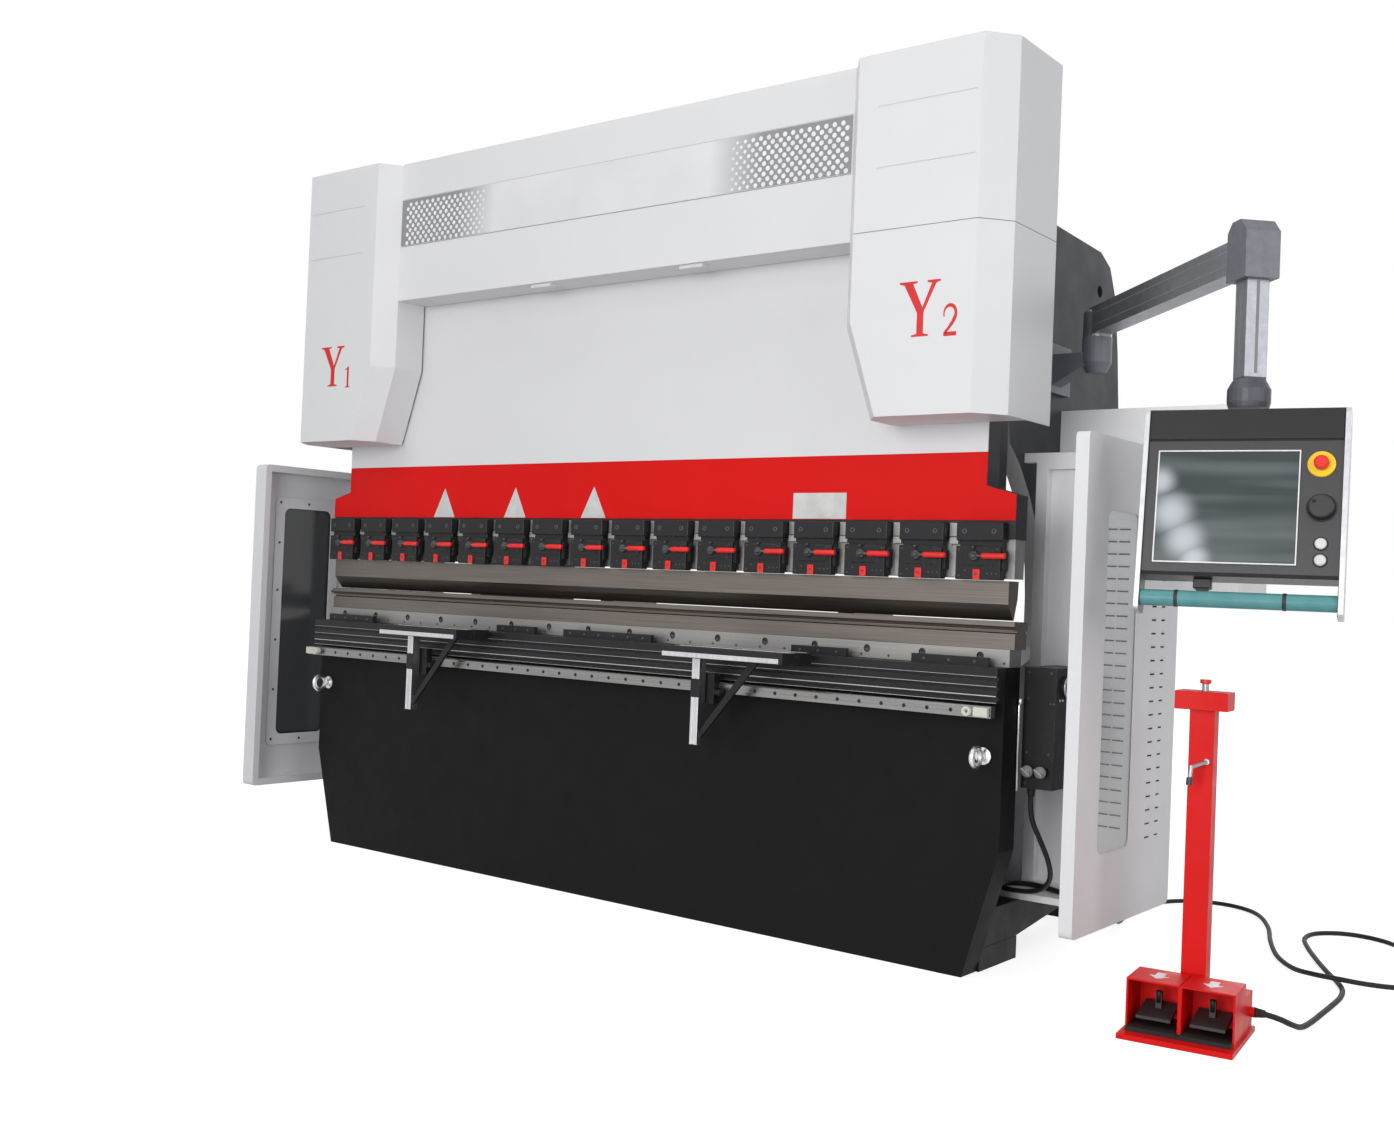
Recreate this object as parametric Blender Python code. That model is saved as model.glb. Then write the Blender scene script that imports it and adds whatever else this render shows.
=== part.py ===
"""Press brake with two servo cylinders, quick clamps, front supports, side doors,
a control pendant on a swing arm and a foot pedal stand. Metres, +Z up, front facing -Y.
The origin is on the floor under the middle of the bed."""

import math

import bmesh
import bpy
from mathutils import Matrix, Vector

# general fits
GAP = 0.0003
SHEET = 0.004

# machine side frames
FRAME_OUT_X = 1.40
FRAME_T = 0.060
FRAME_REAR_Y = 1.22
FRAME_TOP_Z = 2.45
FRAME_LIP_Y = 0.29
FRAME_THROAT_Y = 0.59
FOOT_OUT_X = 1.50
FOOT_LEN = 0.26
FOOT_H = 0.070
SILL_TOP_Z = 0.1845
LEDGE_Z = 0.945
LEDGE_W = 0.050

# bed and tooling seat
BED_HALF = 1.60
BED_FOOT_HALF = 1.49
BED_TAPER_Z = 0.39
BED_TOP_Z = 0.943
BED_FRONT_Y = -0.080
BED_BACK_Y = 0.020
HOLDER_TOP_Z = 0.997
HOLDER_FRONT_Y = -0.050
HOLDER_BACK_Y = 0.030
DIE_TOP_Z = 1.081
CLAMP_COUNT = 16
CLAMP_PITCH = 0.200
BOLT_Z = 0.974
BOLT_R = 0.0125
BOLT_DEPTH = 0.012

# ram
RAM_HALF = 1.60
RAM_UPPER_HALF = 1.50
RAM_CORE_HALF = 1.20
RAM_FRONT_Y = -0.046
RAM_BACK_Y = 0.030
RAM_LOW_Z = 1.330
RED_LOW_Z = 1.387
SHOULDER_LOW_Z = 1.4655
SHOULDER_TOP_Z = 1.493
RED_TOP_Z = 1.597
RAM_ARM_Z = 1.740
RAM_TOP_Z = 2.330
BEND_Y = -0.010
PUNCH_TIP_Z = 1.0842

# covers
COVER_TOP_Z = 2.805
COVER_LOW_Z = 1.687
COVER_INNER_X = 1.070
COVER_FACE_X = 1.130
COVER_OUTER_FACE_X = 1.555
COVER_SIDE_X = 1.630
COVER_FRONT_Y = -0.280
COVER_CHAMFER_Y = -0.200
COVER_OUT_CHAMFER_Y = -0.190
COVER_BACK_Y = 0.100
COVER_INNER_BACK_Y = -0.060
COVER_CUT_Z = 1.985
COVER_CUT_SHIFT = 0.100
BEAM_TOP_Z = 2.810
BEAM_LOW_Z = 2.255
BEAM_BACK_Y = -0.062

# cylinders
CYL_X = 1.335
CYL_R = 0.080
ROD_R = 0.045
CYL_LOW_Z = 1.960
CYL_TOP_Z = 2.640
ROD_TOP_Z = 2.140
CYL_BORE_TOP_Z = 2.560

# doors and enclosure
DOOR_OUT_X = 1.905
DOOR_T = 0.070
DOOR_T_RIGHT = 0.040
DOOR_FRONT_Y = -0.240
DOOR_BACK_Y = 0.505
DOOR_LOW_Z = 0.210
DOOR_TOP_Z = 1.605
DOOR_TOP_Z_RIGHT = 1.629
DOOR_RIM = 0.030
WIN_Y0 = -0.085
WIN_Y1 = 0.160
WIN_Z0 = 0.425
WIN_Z1 = 1.420
WIN_R = 0.030
PANEL_Y = 0.420
PANEL_T = 0.040
PANEL_TOP_Z = 1.640
SHELF_Z = 0.185
SHELF_T = 0.022
SHELF_FRONT_Y = 0.290
ENCLOSURE_X = 1.815
CORD_HOLE_X = 1.720

# electrical cabinet
CAB_X0 = FRAME_OUT_X + GAP
CAB_X1 = 2.010
CAB_Y0 = 0.700
CAB_Y1 = 1.000
CAB_Z0 = 1.170
CAB_Z1 = 1.815
CAB_DOOR_T = 0.020

# drive box on the right end of the bed
DRIVE_FRONT_Y = 0.052
DRIVE_BACK_Y = 0.280
DRIVE_LOW_Z = 0.667
DRIVE_TOP_Z = 0.946
DRIVE_W = 0.105
SOCKET_LOW_Z = 0.576
SOCKET_BACK_Y = 0.200

# pendant
ARM_Z = 2.100
PIVOT_X = 1.560
PIVOT_Y = 0.611
DROP_X = 2.306
DROP_Y = -0.146
PENDANT_YAW = math.radians(11.4)
PENDANT_TILT = math.radians(10.0)
PENDANT_TOP_Z = 1.672
PENDANT_HALF = 0.243
PENDANT_EDGE = 0.012
PENDANT_H = 0.458
PENDANT_D = 0.085
BUTTON_X = 0.196
BUTTON_UPPER_Z = -0.366
BUTTON_LOWER_Z = -0.409
BUTTON_R = 0.0145
BUTTON_POCKET = 0.0045
BUTTON_TRAVEL = 0.003
ESTOP_X = 0.190
ESTOP_Z = -0.158
ESTOP_BASE_T = 0.008
ESTOP_TRAVEL = 0.004

# pedal stand
STAND_X0 = 2.055
STAND_X1 = 2.351
STAND_Y0 = -0.313
STAND_Y1 = 0.000
STAND_TURN = math.radians(7.0)
HOOD_Y0 = -0.252
HOOD_Y1 = -0.108
HOOD_TOP_Z = 0.150
STAND_BASE_T = 0.014
COLUMN_X = 2.200
COLUMN_Y = -0.050
COLUMN_W = 0.066
CAP_LOW_Z = 0.868
CAP_TOP_Z = 0.918
CORD_D = 0.016
CORD_EXIT_Y = -0.045
CORD_EXIT_Z = 0.062
CORD_EXIT_REACH = 0.014

# front supports: the square post needs this much room behind its axis to turn
POST_SWEEP = 0.0265


def clear_scene():
    for item in list(bpy.data.objects):
        bpy.data.objects.remove(item, do_unlink=True)


def material(name, rgb, rough, metal):
    mat = bpy.data.materials.new(name)
    mat.use_nodes = True
    node = mat.node_tree.nodes["Principled BSDF"]
    node.inputs["Base Color"].default_value = (rgb[0], rgb[1], rgb[2], 1.0)
    node.inputs["Roughness"].default_value = rough
    node.inputs["Metallic"].default_value = metal
    mat.diffuse_color = (rgb[0], rgb[1], rgb[2], 1.0)
    return mat


def link(name, bm, rgb, rough=0.5, metal=0.0, pivot=(0.0, 0.0, 0.0), smooth=False):
    bmesh.ops.recalc_face_normals(bm, faces=bm.faces)
    mesh = bpy.data.meshes.new(name)
    shift = Matrix.Translation(-Vector(pivot))
    bmesh.ops.transform(bm, matrix=shift, verts=bm.verts)
    bm.to_mesh(mesh)
    bm.free()
    obj = bpy.data.objects.new(name, mesh)
    obj.location = pivot
    bpy.context.collection.objects.link(obj)
    obj.data.materials.append(material(name, rgb, rough, metal))
    if smooth:
        for face in mesh.polygons:
            face.use_smooth = len(face.vertices) == 4
    return obj


def add_box(bm, x0, x1, y0, y1, z0, z1):
    points = [(x, y, z) for x in (x0, x1) for y in (y0, y1) for z in (z0, z1)]
    verts = [bm.verts.new(p) for p in points]
    for quad in ((0, 1, 3, 2), (4, 6, 7, 5), (0, 4, 5, 1), (2, 3, 7, 6), (0, 2, 6, 4), (1, 5, 7, 3)):
        bm.faces.new([verts[i] for i in quad])
    return verts


def box(x0, x1, y0, y1, z0, z1):
    bm = bmesh.new()
    add_box(bm, x0, x1, y0, y1, z0, z1)
    return bm


def add_prism(bm, outline, axis, low, high):
    """Extrude a closed outline along x, y or z; the outline holds the other two coordinates."""
    rings = []
    for level in (low, high):
        ring = []
        for a, b in outline:
            if axis == "x":
                ring.append(bm.verts.new((level, a, b)))
            elif axis == "y":
                ring.append(bm.verts.new((a, level, b)))
            else:
                ring.append(bm.verts.new((a, b, level)))
        rings.append(ring)
    count = len(outline)
    bm.faces.new(rings[0])
    bm.faces.new(rings[1])
    for i in range(count):
        j = (i + 1) % count
        bm.faces.new((rings[0][i], rings[0][j], rings[1][j], rings[1][i]))


def prism(outline, axis, low, high):
    bm = bmesh.new()
    add_prism(bm, outline, axis, low, high)
    return bm


def circle(ca, cb, radius, count, start=0.0):
    return [(ca + radius * math.cos(start + 2 * math.pi * i / count),
             cb + radius * math.sin(start + 2 * math.pi * i / count)) for i in range(count)]


def rounded(a0, a1, b0, b1, radius, steps=4):
    outline = []
    for ca, cb, turn in ((a1 - radius, b1 - radius, 0), (a0 + radius, b1 - radius, 1),
                         (a0 + radius, b0 + radius, 2), (a1 - radius, b0 + radius, 3)):
        for i in range(steps + 1):
            angle = (turn + i / steps) * math.pi / 2
            outline.append((ca + radius * math.cos(angle), cb + radius * math.sin(angle)))
    return outline


def tube_between(bm, start, end, radius, count):
    start = Vector(start)
    end = Vector(end)
    direction = end - start
    turn = direction.to_track_quat("Z", "Y").to_matrix().to_4x4()
    rings = []
    for level in (0.0, direction.length):
        ring = []
        for a, b in circle(0.0, 0.0, radius, count):
            ring.append(bm.verts.new(start + (turn @ Vector((a, b, level)))))
        rings.append(ring)
    bm.faces.new(rings[0])
    bm.faces.new(rings[1])
    for i in range(count):
        j = (i + 1) % count
        bm.faces.new((rings[0][i], rings[0][j], rings[1][j], rings[1][i]))


def tube(start, end, radius, count=24):
    bm = bmesh.new()
    tube_between(bm, start, end, radius, count)
    return bm


def turned(profile, centre, axis, count=32):
    """Solid of revolution; the profile holds (radius, height) from one end to the other."""
    bm = bmesh.new()
    turn = Vector(axis).to_track_quat("Z", "Y").to_matrix().to_4x4()
    base = Vector(centre)
    rings = []
    for radius, height in profile:
        ring = []
        for a, b in circle(0.0, 0.0, radius, count):
            ring.append(bm.verts.new(base + (turn @ Vector((a, b, height)))))
        rings.append(ring)
    bm.faces.new(rings[0])
    bm.faces.new(rings[-1])
    for low, high in zip(rings, rings[1:]):
        for i in range(count):
            j = (i + 1) % count
            bm.faces.new((low[i], low[j], high[j], high[i]))
    return bm


def combine(first, second, mode):
    """Exact Boolean of two closed bmeshes; both are used up."""
    helpers = []
    for bm in (first, second):
        bmesh.ops.recalc_face_normals(bm, faces=bm.faces)
        mesh = bpy.data.meshes.new("helper")
        bm.to_mesh(mesh)
        bm.free()
        obj = bpy.data.objects.new("helper", mesh)
        bpy.context.collection.objects.link(obj)
        helpers.append(obj)
    mod = helpers[0].modifiers.new("combine", "BOOLEAN")
    mod.operation = mode
    mod.solver = "EXACT"
    mod.object = helpers[1]
    bpy.context.view_layer.update()
    graph = bpy.context.evaluated_depsgraph_get()
    result = bmesh.new()
    result.from_mesh(helpers[0].evaluated_get(graph).to_mesh())
    helpers[0].evaluated_get(graph).to_mesh_clear()
    for obj in helpers:
        bpy.data.objects.remove(obj, do_unlink=True)
    bmesh.ops.remove_doubles(result, verts=result.verts, dist=0.00001)
    flat = math.radians(0.2)
    bmesh.ops.dissolve_limit(result, angle_limit=flat, verts=result.verts, edges=result.edges)
    return result


def cut(first, second):
    return combine(first, second, "DIFFERENCE")


def join(first, second):
    return combine(first, second, "UNION")


def bevelled(bm, width, segments=2):
    edges = [e for e in bm.edges if len(e.link_faces) == 2 and e.calc_face_angle() > 0.6]
    bmesh.ops.bevel(bm, geom=edges, offset=width, segments=segments, affect="EDGES", profile=0.5)
    return bm


def place(bm, matrix):
    bmesh.ops.transform(bm, matrix=matrix, verts=bm.verts)
    return bm


WHITE = (0.760, 0.760, 0.775)
RED = (0.760, 0.012, 0.010)
BLACK = (0.012, 0.012, 0.013)
DARK = (0.045, 0.047, 0.053)
STEEL = (0.330, 0.315, 0.305)
BRIGHT = (0.560, 0.560, 0.570)
CAST = (0.165, 0.170, 0.190)


def frame_outline():
    lip = FRAME_LIP_Y
    throat = FRAME_THROAT_Y
    rear = FRAME_REAR_Y
    front = BED_BACK_Y + GAP
    return [
        (front, 0.0), (front, 0.90), (0.24, 0.90), (0.42, 0.915), (0.51, 0.945), (0.565, 0.99),
        (throat, 1.06), (throat, 1.16), (throat - 0.012, 1.27), (throat - 0.055, 1.395),
        (throat - 0.115, 1.495), (throat - 0.205, 1.60), (lip + 0.012, 1.665), (lip, 1.74),
        (lip, FRAME_TOP_Z + 0.04), (0.56, FRAME_TOP_Z), (1.00, FRAME_TOP_Z - 0.015),
        (1.09, FRAME_TOP_Z - 0.055), (1.15, FRAME_TOP_Z - 0.16), (1.19, FRAME_TOP_Z - 0.36),
        (rear, FRAME_TOP_Z - 0.60), (rear, 0.0), (rear - FOOT_LEN, 0.0), (rear - FOOT_LEN, 0.105),
        (0.78, 0.105), (FOOT_LEN, 0.040), (FOOT_LEN, 0.0),
    ]


def build_frames():
    for name, side in (("frame_left", -1.0), ("frame_right", 1.0)):
        inner = FRAME_OUT_X - FRAME_T
        xs = sorted((side * inner, side * FRAME_OUT_X))
        body = prism(frame_outline(), "x", xs[0], xs[1])
        foot = sorted((side * (inner - 0.04), side * FOOT_OUT_X))
        for y0 in (BED_BACK_Y + GAP, FRAME_REAR_Y - FOOT_LEN):
            body = join(body, box(foot[0], foot[1], y0, y0 + FOOT_LEN - GAP, 0.0, FOOT_H))
        front = BED_BACK_Y + 0.004
        rear = FRAME_REAR_Y - 0.004
        sill = [(front, 0.010), (front, SILL_TOP_Z), (rear, SILL_TOP_Z), (rear, 0.010), (rear - 0.25, 0.010),
                (rear - 0.25, 0.125), (0.700, 0.125), (0.270, FOOT_H), (0.270, 0.010)]
        wing = sorted((side * (FRAME_OUT_X - 0.010), side * (FOOT_OUT_X - 0.001)))
        body = join(body, prism(sill, "x", wing[0], wing[1]))
        ledge = sorted((side * (inner - LEDGE_W), side * (inner + 0.01)))
        body = join(body, box(ledge[0], ledge[1], 0.62, 1.18, LEDGE_Z - 0.05, LEDGE_Z))
        hole = tube((side * (inner - 0.1), 1.00, 2.29), (side * (FRAME_OUT_X + 0.1), 1.00, 2.29), 0.022, 20)
        body = cut(body, hole)
        link(name, body, DARK, 0.5, 0.1)
        guide = sorted((side * inner, side * FRAME_OUT_X))
        link(name.replace("frame", "ram_guide"),
             box(guide[0], guide[1], RAM_BACK_Y + GAP, FRAME_LIP_Y - GAP, 1.50, 1.735), BLACK, 0.45, 0.4)


def build_bed():
    outline = [(-BED_FOOT_HALF, 0.0), (BED_FOOT_HALF, 0.0), (BED_HALF, BED_TAPER_Z),
               (BED_HALF, BED_TOP_Z), (-BED_HALF, BED_TOP_Z), (-BED_HALF, BED_TAPER_Z)]
    link("front_bed", prism(outline, "y", BED_FRONT_Y, BED_BACK_Y), BLACK, 0.55, 0.0)

    face = -0.130
    back = BED_FRONT_Y - GAP
    notch = 0.012
    profile = [(back, 0.838), (face, 0.838)]
    for low in (0.846, 0.876, 0.905):
        profile += [(face, low), (face + notch, low), (face + notch, low + 0.011), (face, low + 0.011)]
    profile += [(face, BED_TOP_Z), (back, BED_TOP_Z)]
    table = prism(profile, "x", -BED_HALF + 0.002, BED_HALF - 0.002)
    stops = bmesh.new()
    for x0, x1 in ((-1.54, -1.26), (-0.53, -0.33), (-0.18, 0.24), (0.84, 1.05), (1.29, 1.55)):
        add_box(stops, x0, x1, -0.100, back, BED_TOP_Z - 0.004, 0.971)
    link("slot_table", join(table, stops), BLACK, 0.4, 0.6)

    rail = prism([(-0.1303, 0.795), (-0.160, 0.795), (-0.160, 0.826), (-0.156, 0.830), (-0.1303, 0.830)],
                 "x", -BED_HALF + 0.004, BED_HALF - 0.004)
    link("guide_rail", rail, BRIGHT, 0.35, 1.0)

    holder = box(-1.597, 1.597, HOLDER_FRONT_Y, HOLDER_BACK_Y, BED_TOP_Z + GAP, HOLDER_TOP_Z)
    bores = bmesh.new()
    for i in range(CLAMP_COUNT):
        x = (i - (CLAMP_COUNT - 1) / 2) * CLAMP_PITCH
        tube_between(bores, (x, HOLDER_FRONT_Y - 0.01, BOLT_Z), (x, HOLDER_FRONT_Y + BOLT_DEPTH, BOLT_Z),
                     BOLT_R, 16)
    link("die_holder", cut(holder, bores), BRIGHT, 0.4, 1.0)

    low = HOLDER_TOP_Z + GAP
    mid = 1.0535
    die = [(-0.050, low), (-0.050, 1.045), (-0.036, 1.048), (-0.036, mid), (-0.056, mid), (-0.056, 1.056),
           (-0.050, 1.060), (-0.056, 1.067), (-0.056, DIE_TOP_Z), (BEND_Y - 0.014, DIE_TOP_Z),
           (BEND_Y, 1.064), (BEND_Y + 0.014, DIE_TOP_Z), (0.036, DIE_TOP_Z), (0.036, mid), (0.022, mid),
           (0.022, 1.045), (0.030, 1.045), (0.030, low)]
    link("die", prism(die, "x", -1.580, 1.612), STEEL, 0.35, 1.0)

    for name, x in (("eye_left", -1.545), ("eye_right", 1.540)):
        y = BED_FRONT_Y - GAP
        plate = turned([(0.026, 0.0), (0.026, 0.008), (0.013, 0.010), (0.013, 0.022)], (x, y, 0.675),
                       (0.0, -1.0, 0.0), 24)
        ring = bmesh.new()
        loop = 24
        wire = 8
        for i in range(loop):
            angle = 2 * math.pi * i / loop
            for j in range(wire):
                turn = 2 * math.pi * j / wire
                reach = 0.028 + 0.009 * math.cos(turn)
                ring.verts.new((x + 0.009 * math.sin(turn), y - 0.052 + reach * math.cos(angle),
                                0.675 + reach * math.sin(angle)))
        ring.verts.ensure_lookup_table()
        for i in range(loop):
            for j in range(wire):
                a = i * wire + j
                b = i * wire + (j + 1) % wire
                c = ((i + 1) % loop) * wire + (j + 1) % wire
                d = ((i + 1) % loop) * wire + j
                ring.faces.new([ring.verts[k] for k in (a, b, c, d)])
        link(name, join(plate, ring), BRIGHT, 0.35, 1.0)


def build_drive():
    inner = FRAME_OUT_X - FRAME_T - GAP
    tank = bevelled(box(-inner, inner, 0.60, 1.05, 1.95, 2.40), 0.008)
    wall = 0.008
    tank = cut(tank, box(-inner + wall, inner - wall, 0.60 + wall, 1.05 - wall, 1.95 + wall, 2.40 - wall))
    tank = cut(tank, tube((0.60, 0.83, 2.30), (0.60, 0.83, 2.45), 0.045, 24))
    motor = turned([(0.11, -0.01), (0.11, 0.03), (0.085, 0.032), (0.085, 0.27), (0.07, 0.30)],
                   (-0.35, 0.83, 2.40), (0.0, 0.0, 1.0), 24)
    link("oil_tank", join(tank, motor), DARK, 0.5, 0.1)
    for name, side in (("cylinder_left", -1.0), ("cylinder_right", 1.0)):
        x = side * CYL_X
        body = turned([(CYL_R, 0.0), (CYL_R, CYL_TOP_Z - CYL_LOW_Z)], (x, BEND_Y, CYL_LOW_Z), (0.0, 0.0, 1.0), 32)
        yoke = box(x - 0.075, x + 0.065, BEND_Y, FRAME_LIP_Y - GAP, 2.310, 2.480)
        body = join(body, yoke)
        bore = turned([(ROD_R + GAP, -0.01), (ROD_R + GAP, CYL_BORE_TOP_Z - CYL_LOW_Z)],
                      (x, BEND_Y, CYL_LOW_Z), (0.0, 0.0, 1.0), 32)
        link(name, cut(body, bore), DARK, 0.35, 0.3)


def cover_rings(inset, front_inset, low, high, back):
    """Plan rings of a cylinder cover at its foot, at the start of the corner cut and at its top."""
    rings = []
    for z, shift in ((low, COVER_CUT_SHIFT), (COVER_CUT_Z, 0.0), (high, 0.0)):
        rings.append([
            (COVER_INNER_X + inset + shift, COVER_INNER_BACK_Y + back),
            (COVER_INNER_X + inset + shift, COVER_CHAMFER_Y + inset * 0.4),
            (COVER_FACE_X + inset * 0.6 + shift, COVER_FRONT_Y + front_inset),
            (COVER_OUTER_FACE_X - inset * 0.6, COVER_FRONT_Y + front_inset),
            (COVER_SIDE_X - inset, COVER_OUT_CHAMFER_Y + inset * 0.4),
            (COVER_SIDE_X - inset, COVER_BACK_Y + back),
        ])
        rings[-1] = [(x, y, z) for x, y in rings[-1]]
    return rings


def loft(rings, side):
    bm = bmesh.new()
    levels = [[bm.verts.new((side * x, y, z)) for x, y, z in ring] for ring in rings]
    bm.faces.new(levels[0])
    bm.faces.new(levels[-1])
    count = len(levels[0])
    for low, high in zip(levels, levels[1:]):
        for i in range(count):
            j = (i + 1) % count
            bm.faces.new((low[i], low[j], high[j], high[i]))
    return bm


def cover_shell():
    """Cover of the left cylinder: a thin shell open to the back and round the ram."""
    outer = loft(cover_rings(0.0, 0.0, COVER_LOW_Z, COVER_TOP_Z, 0.0), -1.0)
    for z in (2.639, 2.449):
        outer = cut(outer, box(-1.540, -1.205, COVER_FRONT_Y - 0.01, COVER_FRONT_Y + 0.0015,
                               z - 0.0025, z + 0.0025))
    inner = loft(cover_rings(SHEET, SHEET, COVER_LOW_Z + SHEET, COVER_TOP_Z - SHEET, 0.25), -1.0)
    shell = cut(outer, inner)
    return cut(shell, box(SHEET - COVER_SIDE_X, -0.90, COVER_INNER_BACK_Y - 0.002, 0.30, 1.60,
                          COVER_LOW_Z + 0.02))


def build_covers():
    link("cover_left", cover_shell(), WHITE, 0.4, 0.0)
    mirrored = place(cover_shell(), Matrix.Scale(-1.0, 4, (1.0, 0.0, 0.0)))
    link("cover_right", mirrored, WHITE, 0.4, 0.0)

    half = COVER_INNER_X - GAP
    beam = box(-half, half, COVER_CHAMFER_Y, BEAM_BACK_Y, BEAM_LOW_Z, BEAM_TOP_Z)
    beam = cut(beam, box(-half - 0.01, half + 0.01, COVER_CHAMFER_Y + SHEET, BEAM_BACK_Y + 0.01,
                         BEAM_LOW_Z + SHEET, BEAM_TOP_Z - SHEET))
    beam = join(beam, box(-half, half, BEAM_BACK_Y - 0.01, COVER_BACK_Y, BEAM_TOP_Z - 0.020, BEAM_TOP_Z))
    lamps = bmesh.new()
    for x in (-0.29, 0.42):
        add_box(lamps, x - 0.05, x + 0.05, -0.185, -0.150, BEAM_LOW_Z - 0.012, BEAM_LOW_Z + 0.01)
    beam = join(beam, lamps)
    band = box(-half + 0.002, half - 0.002, COVER_CHAMFER_Y - 0.0015, COVER_CHAMFER_Y + 0.01, 2.474, 2.663)
    link("beam_cover", join(beam, band), WHITE, 0.4, 0.0)


def build_ram():
    plate = [(-RAM_HALF, RAM_LOW_Z), (RAM_HALF, RAM_LOW_Z), (RAM_HALF, SHOULDER_LOW_Z),
             (RAM_UPPER_HALF, SHOULDER_TOP_Z), (RAM_UPPER_HALF, RAM_ARM_Z), (RAM_CORE_HALF, RAM_ARM_Z),
             (RAM_CORE_HALF, RAM_TOP_Z), (-RAM_CORE_HALF, RAM_TOP_Z), (-RAM_CORE_HALF, RAM_ARM_Z),
             (-RAM_UPPER_HALF, RAM_ARM_Z), (-RAM_UPPER_HALF, SHOULDER_TOP_Z), (-RAM_HALF, SHOULDER_LOW_Z)]
    link("ram_plate", prism(plate, "y", RAM_FRONT_Y, RAM_BACK_Y), DARK, 0.5, 0.2)
    skin_back = RAM_FRONT_Y - GAP
    skin_front = skin_back - SHEET
    red = [(-RAM_HALF, RED_LOW_Z), (RAM_HALF, RED_LOW_Z), (RAM_HALF, SHOULDER_LOW_Z),
           (RAM_UPPER_HALF, SHOULDER_TOP_Z), (RAM_UPPER_HALF, RED_TOP_Z - GAP),
           (-RAM_UPPER_HALF, RED_TOP_Z - GAP), (-RAM_UPPER_HALF, SHOULDER_TOP_Z), (-RAM_HALF, SHOULDER_LOW_Z)]
    link("ram_red_skin", prism(red, "y", skin_front, skin_back), RED, 0.35, 0.0)
    white = [(-RAM_UPPER_HALF, RED_TOP_Z), (RAM_UPPER_HALF, RED_TOP_Z), (RAM_UPPER_HALF, RAM_ARM_Z),
             (RAM_CORE_HALF, RAM_ARM_Z), (RAM_CORE_HALF, RAM_TOP_Z), (-RAM_CORE_HALF, RAM_TOP_Z),
             (-RAM_CORE_HALF, RAM_ARM_Z), (-RAM_UPPER_HALF, RAM_ARM_Z)]
    link("ram_white_skin", prism(white, "y", skin_front, skin_back), WHITE, 0.4, 0.0)

    adapter_low = 1.2103
    adapter = box(-1.598, 1.598, -0.040, 0.024, adapter_low, RAM_LOW_Z - GAP)
    link("clamp_beam", adapter, BRIGHT, 0.4, 1.0)

    face = -0.086
    back = -0.0506 - GAP
    clamps = bmesh.new()
    for i in range(CLAMP_COUNT):
        x = (i - (CLAMP_COUNT - 1) / 2) * CLAMP_PITCH
        one = box(x - 0.078, x + 0.078, face, back, 1.2045, 1.3800)
        one = cut(one, box(x - 0.1, x + 0.1, face - 0.01, face + 0.010, 1.3100, 1.3200))
        one = join(one, tube((x - 0.004, face + 0.005, 1.277), (x - 0.004, face - 0.024, 1.277), 0.015, 14))
        one = join(one, tube((x - 0.004, face - 0.016, 1.277), (x + 0.109, face - 0.016, 1.277), 0.0068, 10))
        one = join(one, box(x - 0.011, x + 0.011, face - 0.004, face + 0.005, 1.2050, 1.2420))
        mesh = bpy.data.meshes.new("helper")
        one.to_mesh(mesh)
        one.free()
        clamps.from_mesh(mesh)
        bpy.data.meshes.remove(mesh)
    spine = box(-1.560, 1.560, back - 0.012, back, 1.285, 1.300)
    link("clamp_bank", join(clamps, spine), BLACK, 0.4, 0.3)

    punch = [(-0.050, 1.2037), (-0.050, 1.133), (BEND_Y - 0.002, PUNCH_TIP_Z), (BEND_Y + 0.002, PUNCH_TIP_Z),
             (0.014, 1.150), (0.018, 1.2037)]
    link("punch", prism(punch, "x", -1.577, 1.586), STEEL, 0.35, 1.0)

    for name, side in (("rod_left", -1.0), ("rod_right", 1.0)):
        rod = turned([(ROD_R, 0.0), (ROD_R, ROD_TOP_Z - RAM_ARM_Z - GAP)],
                     (side * CYL_X, BEND_Y, RAM_ARM_Z + GAP), (0.0, 0.0, 1.0), 32)
        link(name, rod, BRIGHT, 0.15, 1.0, smooth=True)


def build_gauge():
    reach = FRAME_OUT_X - FRAME_T - GAP
    z0 = LEDGE_Z + GAP
    link("gauge_beam", box(-reach, reach, 0.84, 0.92, z0, z0 + 0.08), DARK, 0.4, 0.3, pivot=(0.0, 0.88, z0))
    for name, x in (("gauge_finger_left", -0.60), ("gauge_finger_right", 0.60)):
        top = z0 + 0.08 + GAP
        finger = [(0.620, top + 0.035), (0.620, top + 0.075), (0.640, top + 0.075), (0.660, top + 0.055),
                  (0.915, top + 0.055), (0.915, top), (0.845, top), (0.830, top + 0.035)]
        link(name, prism(finger, "x", x - 0.035, x + 0.035), STEEL, 0.4, 0.8, pivot=(x, 0.88, top))


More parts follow.
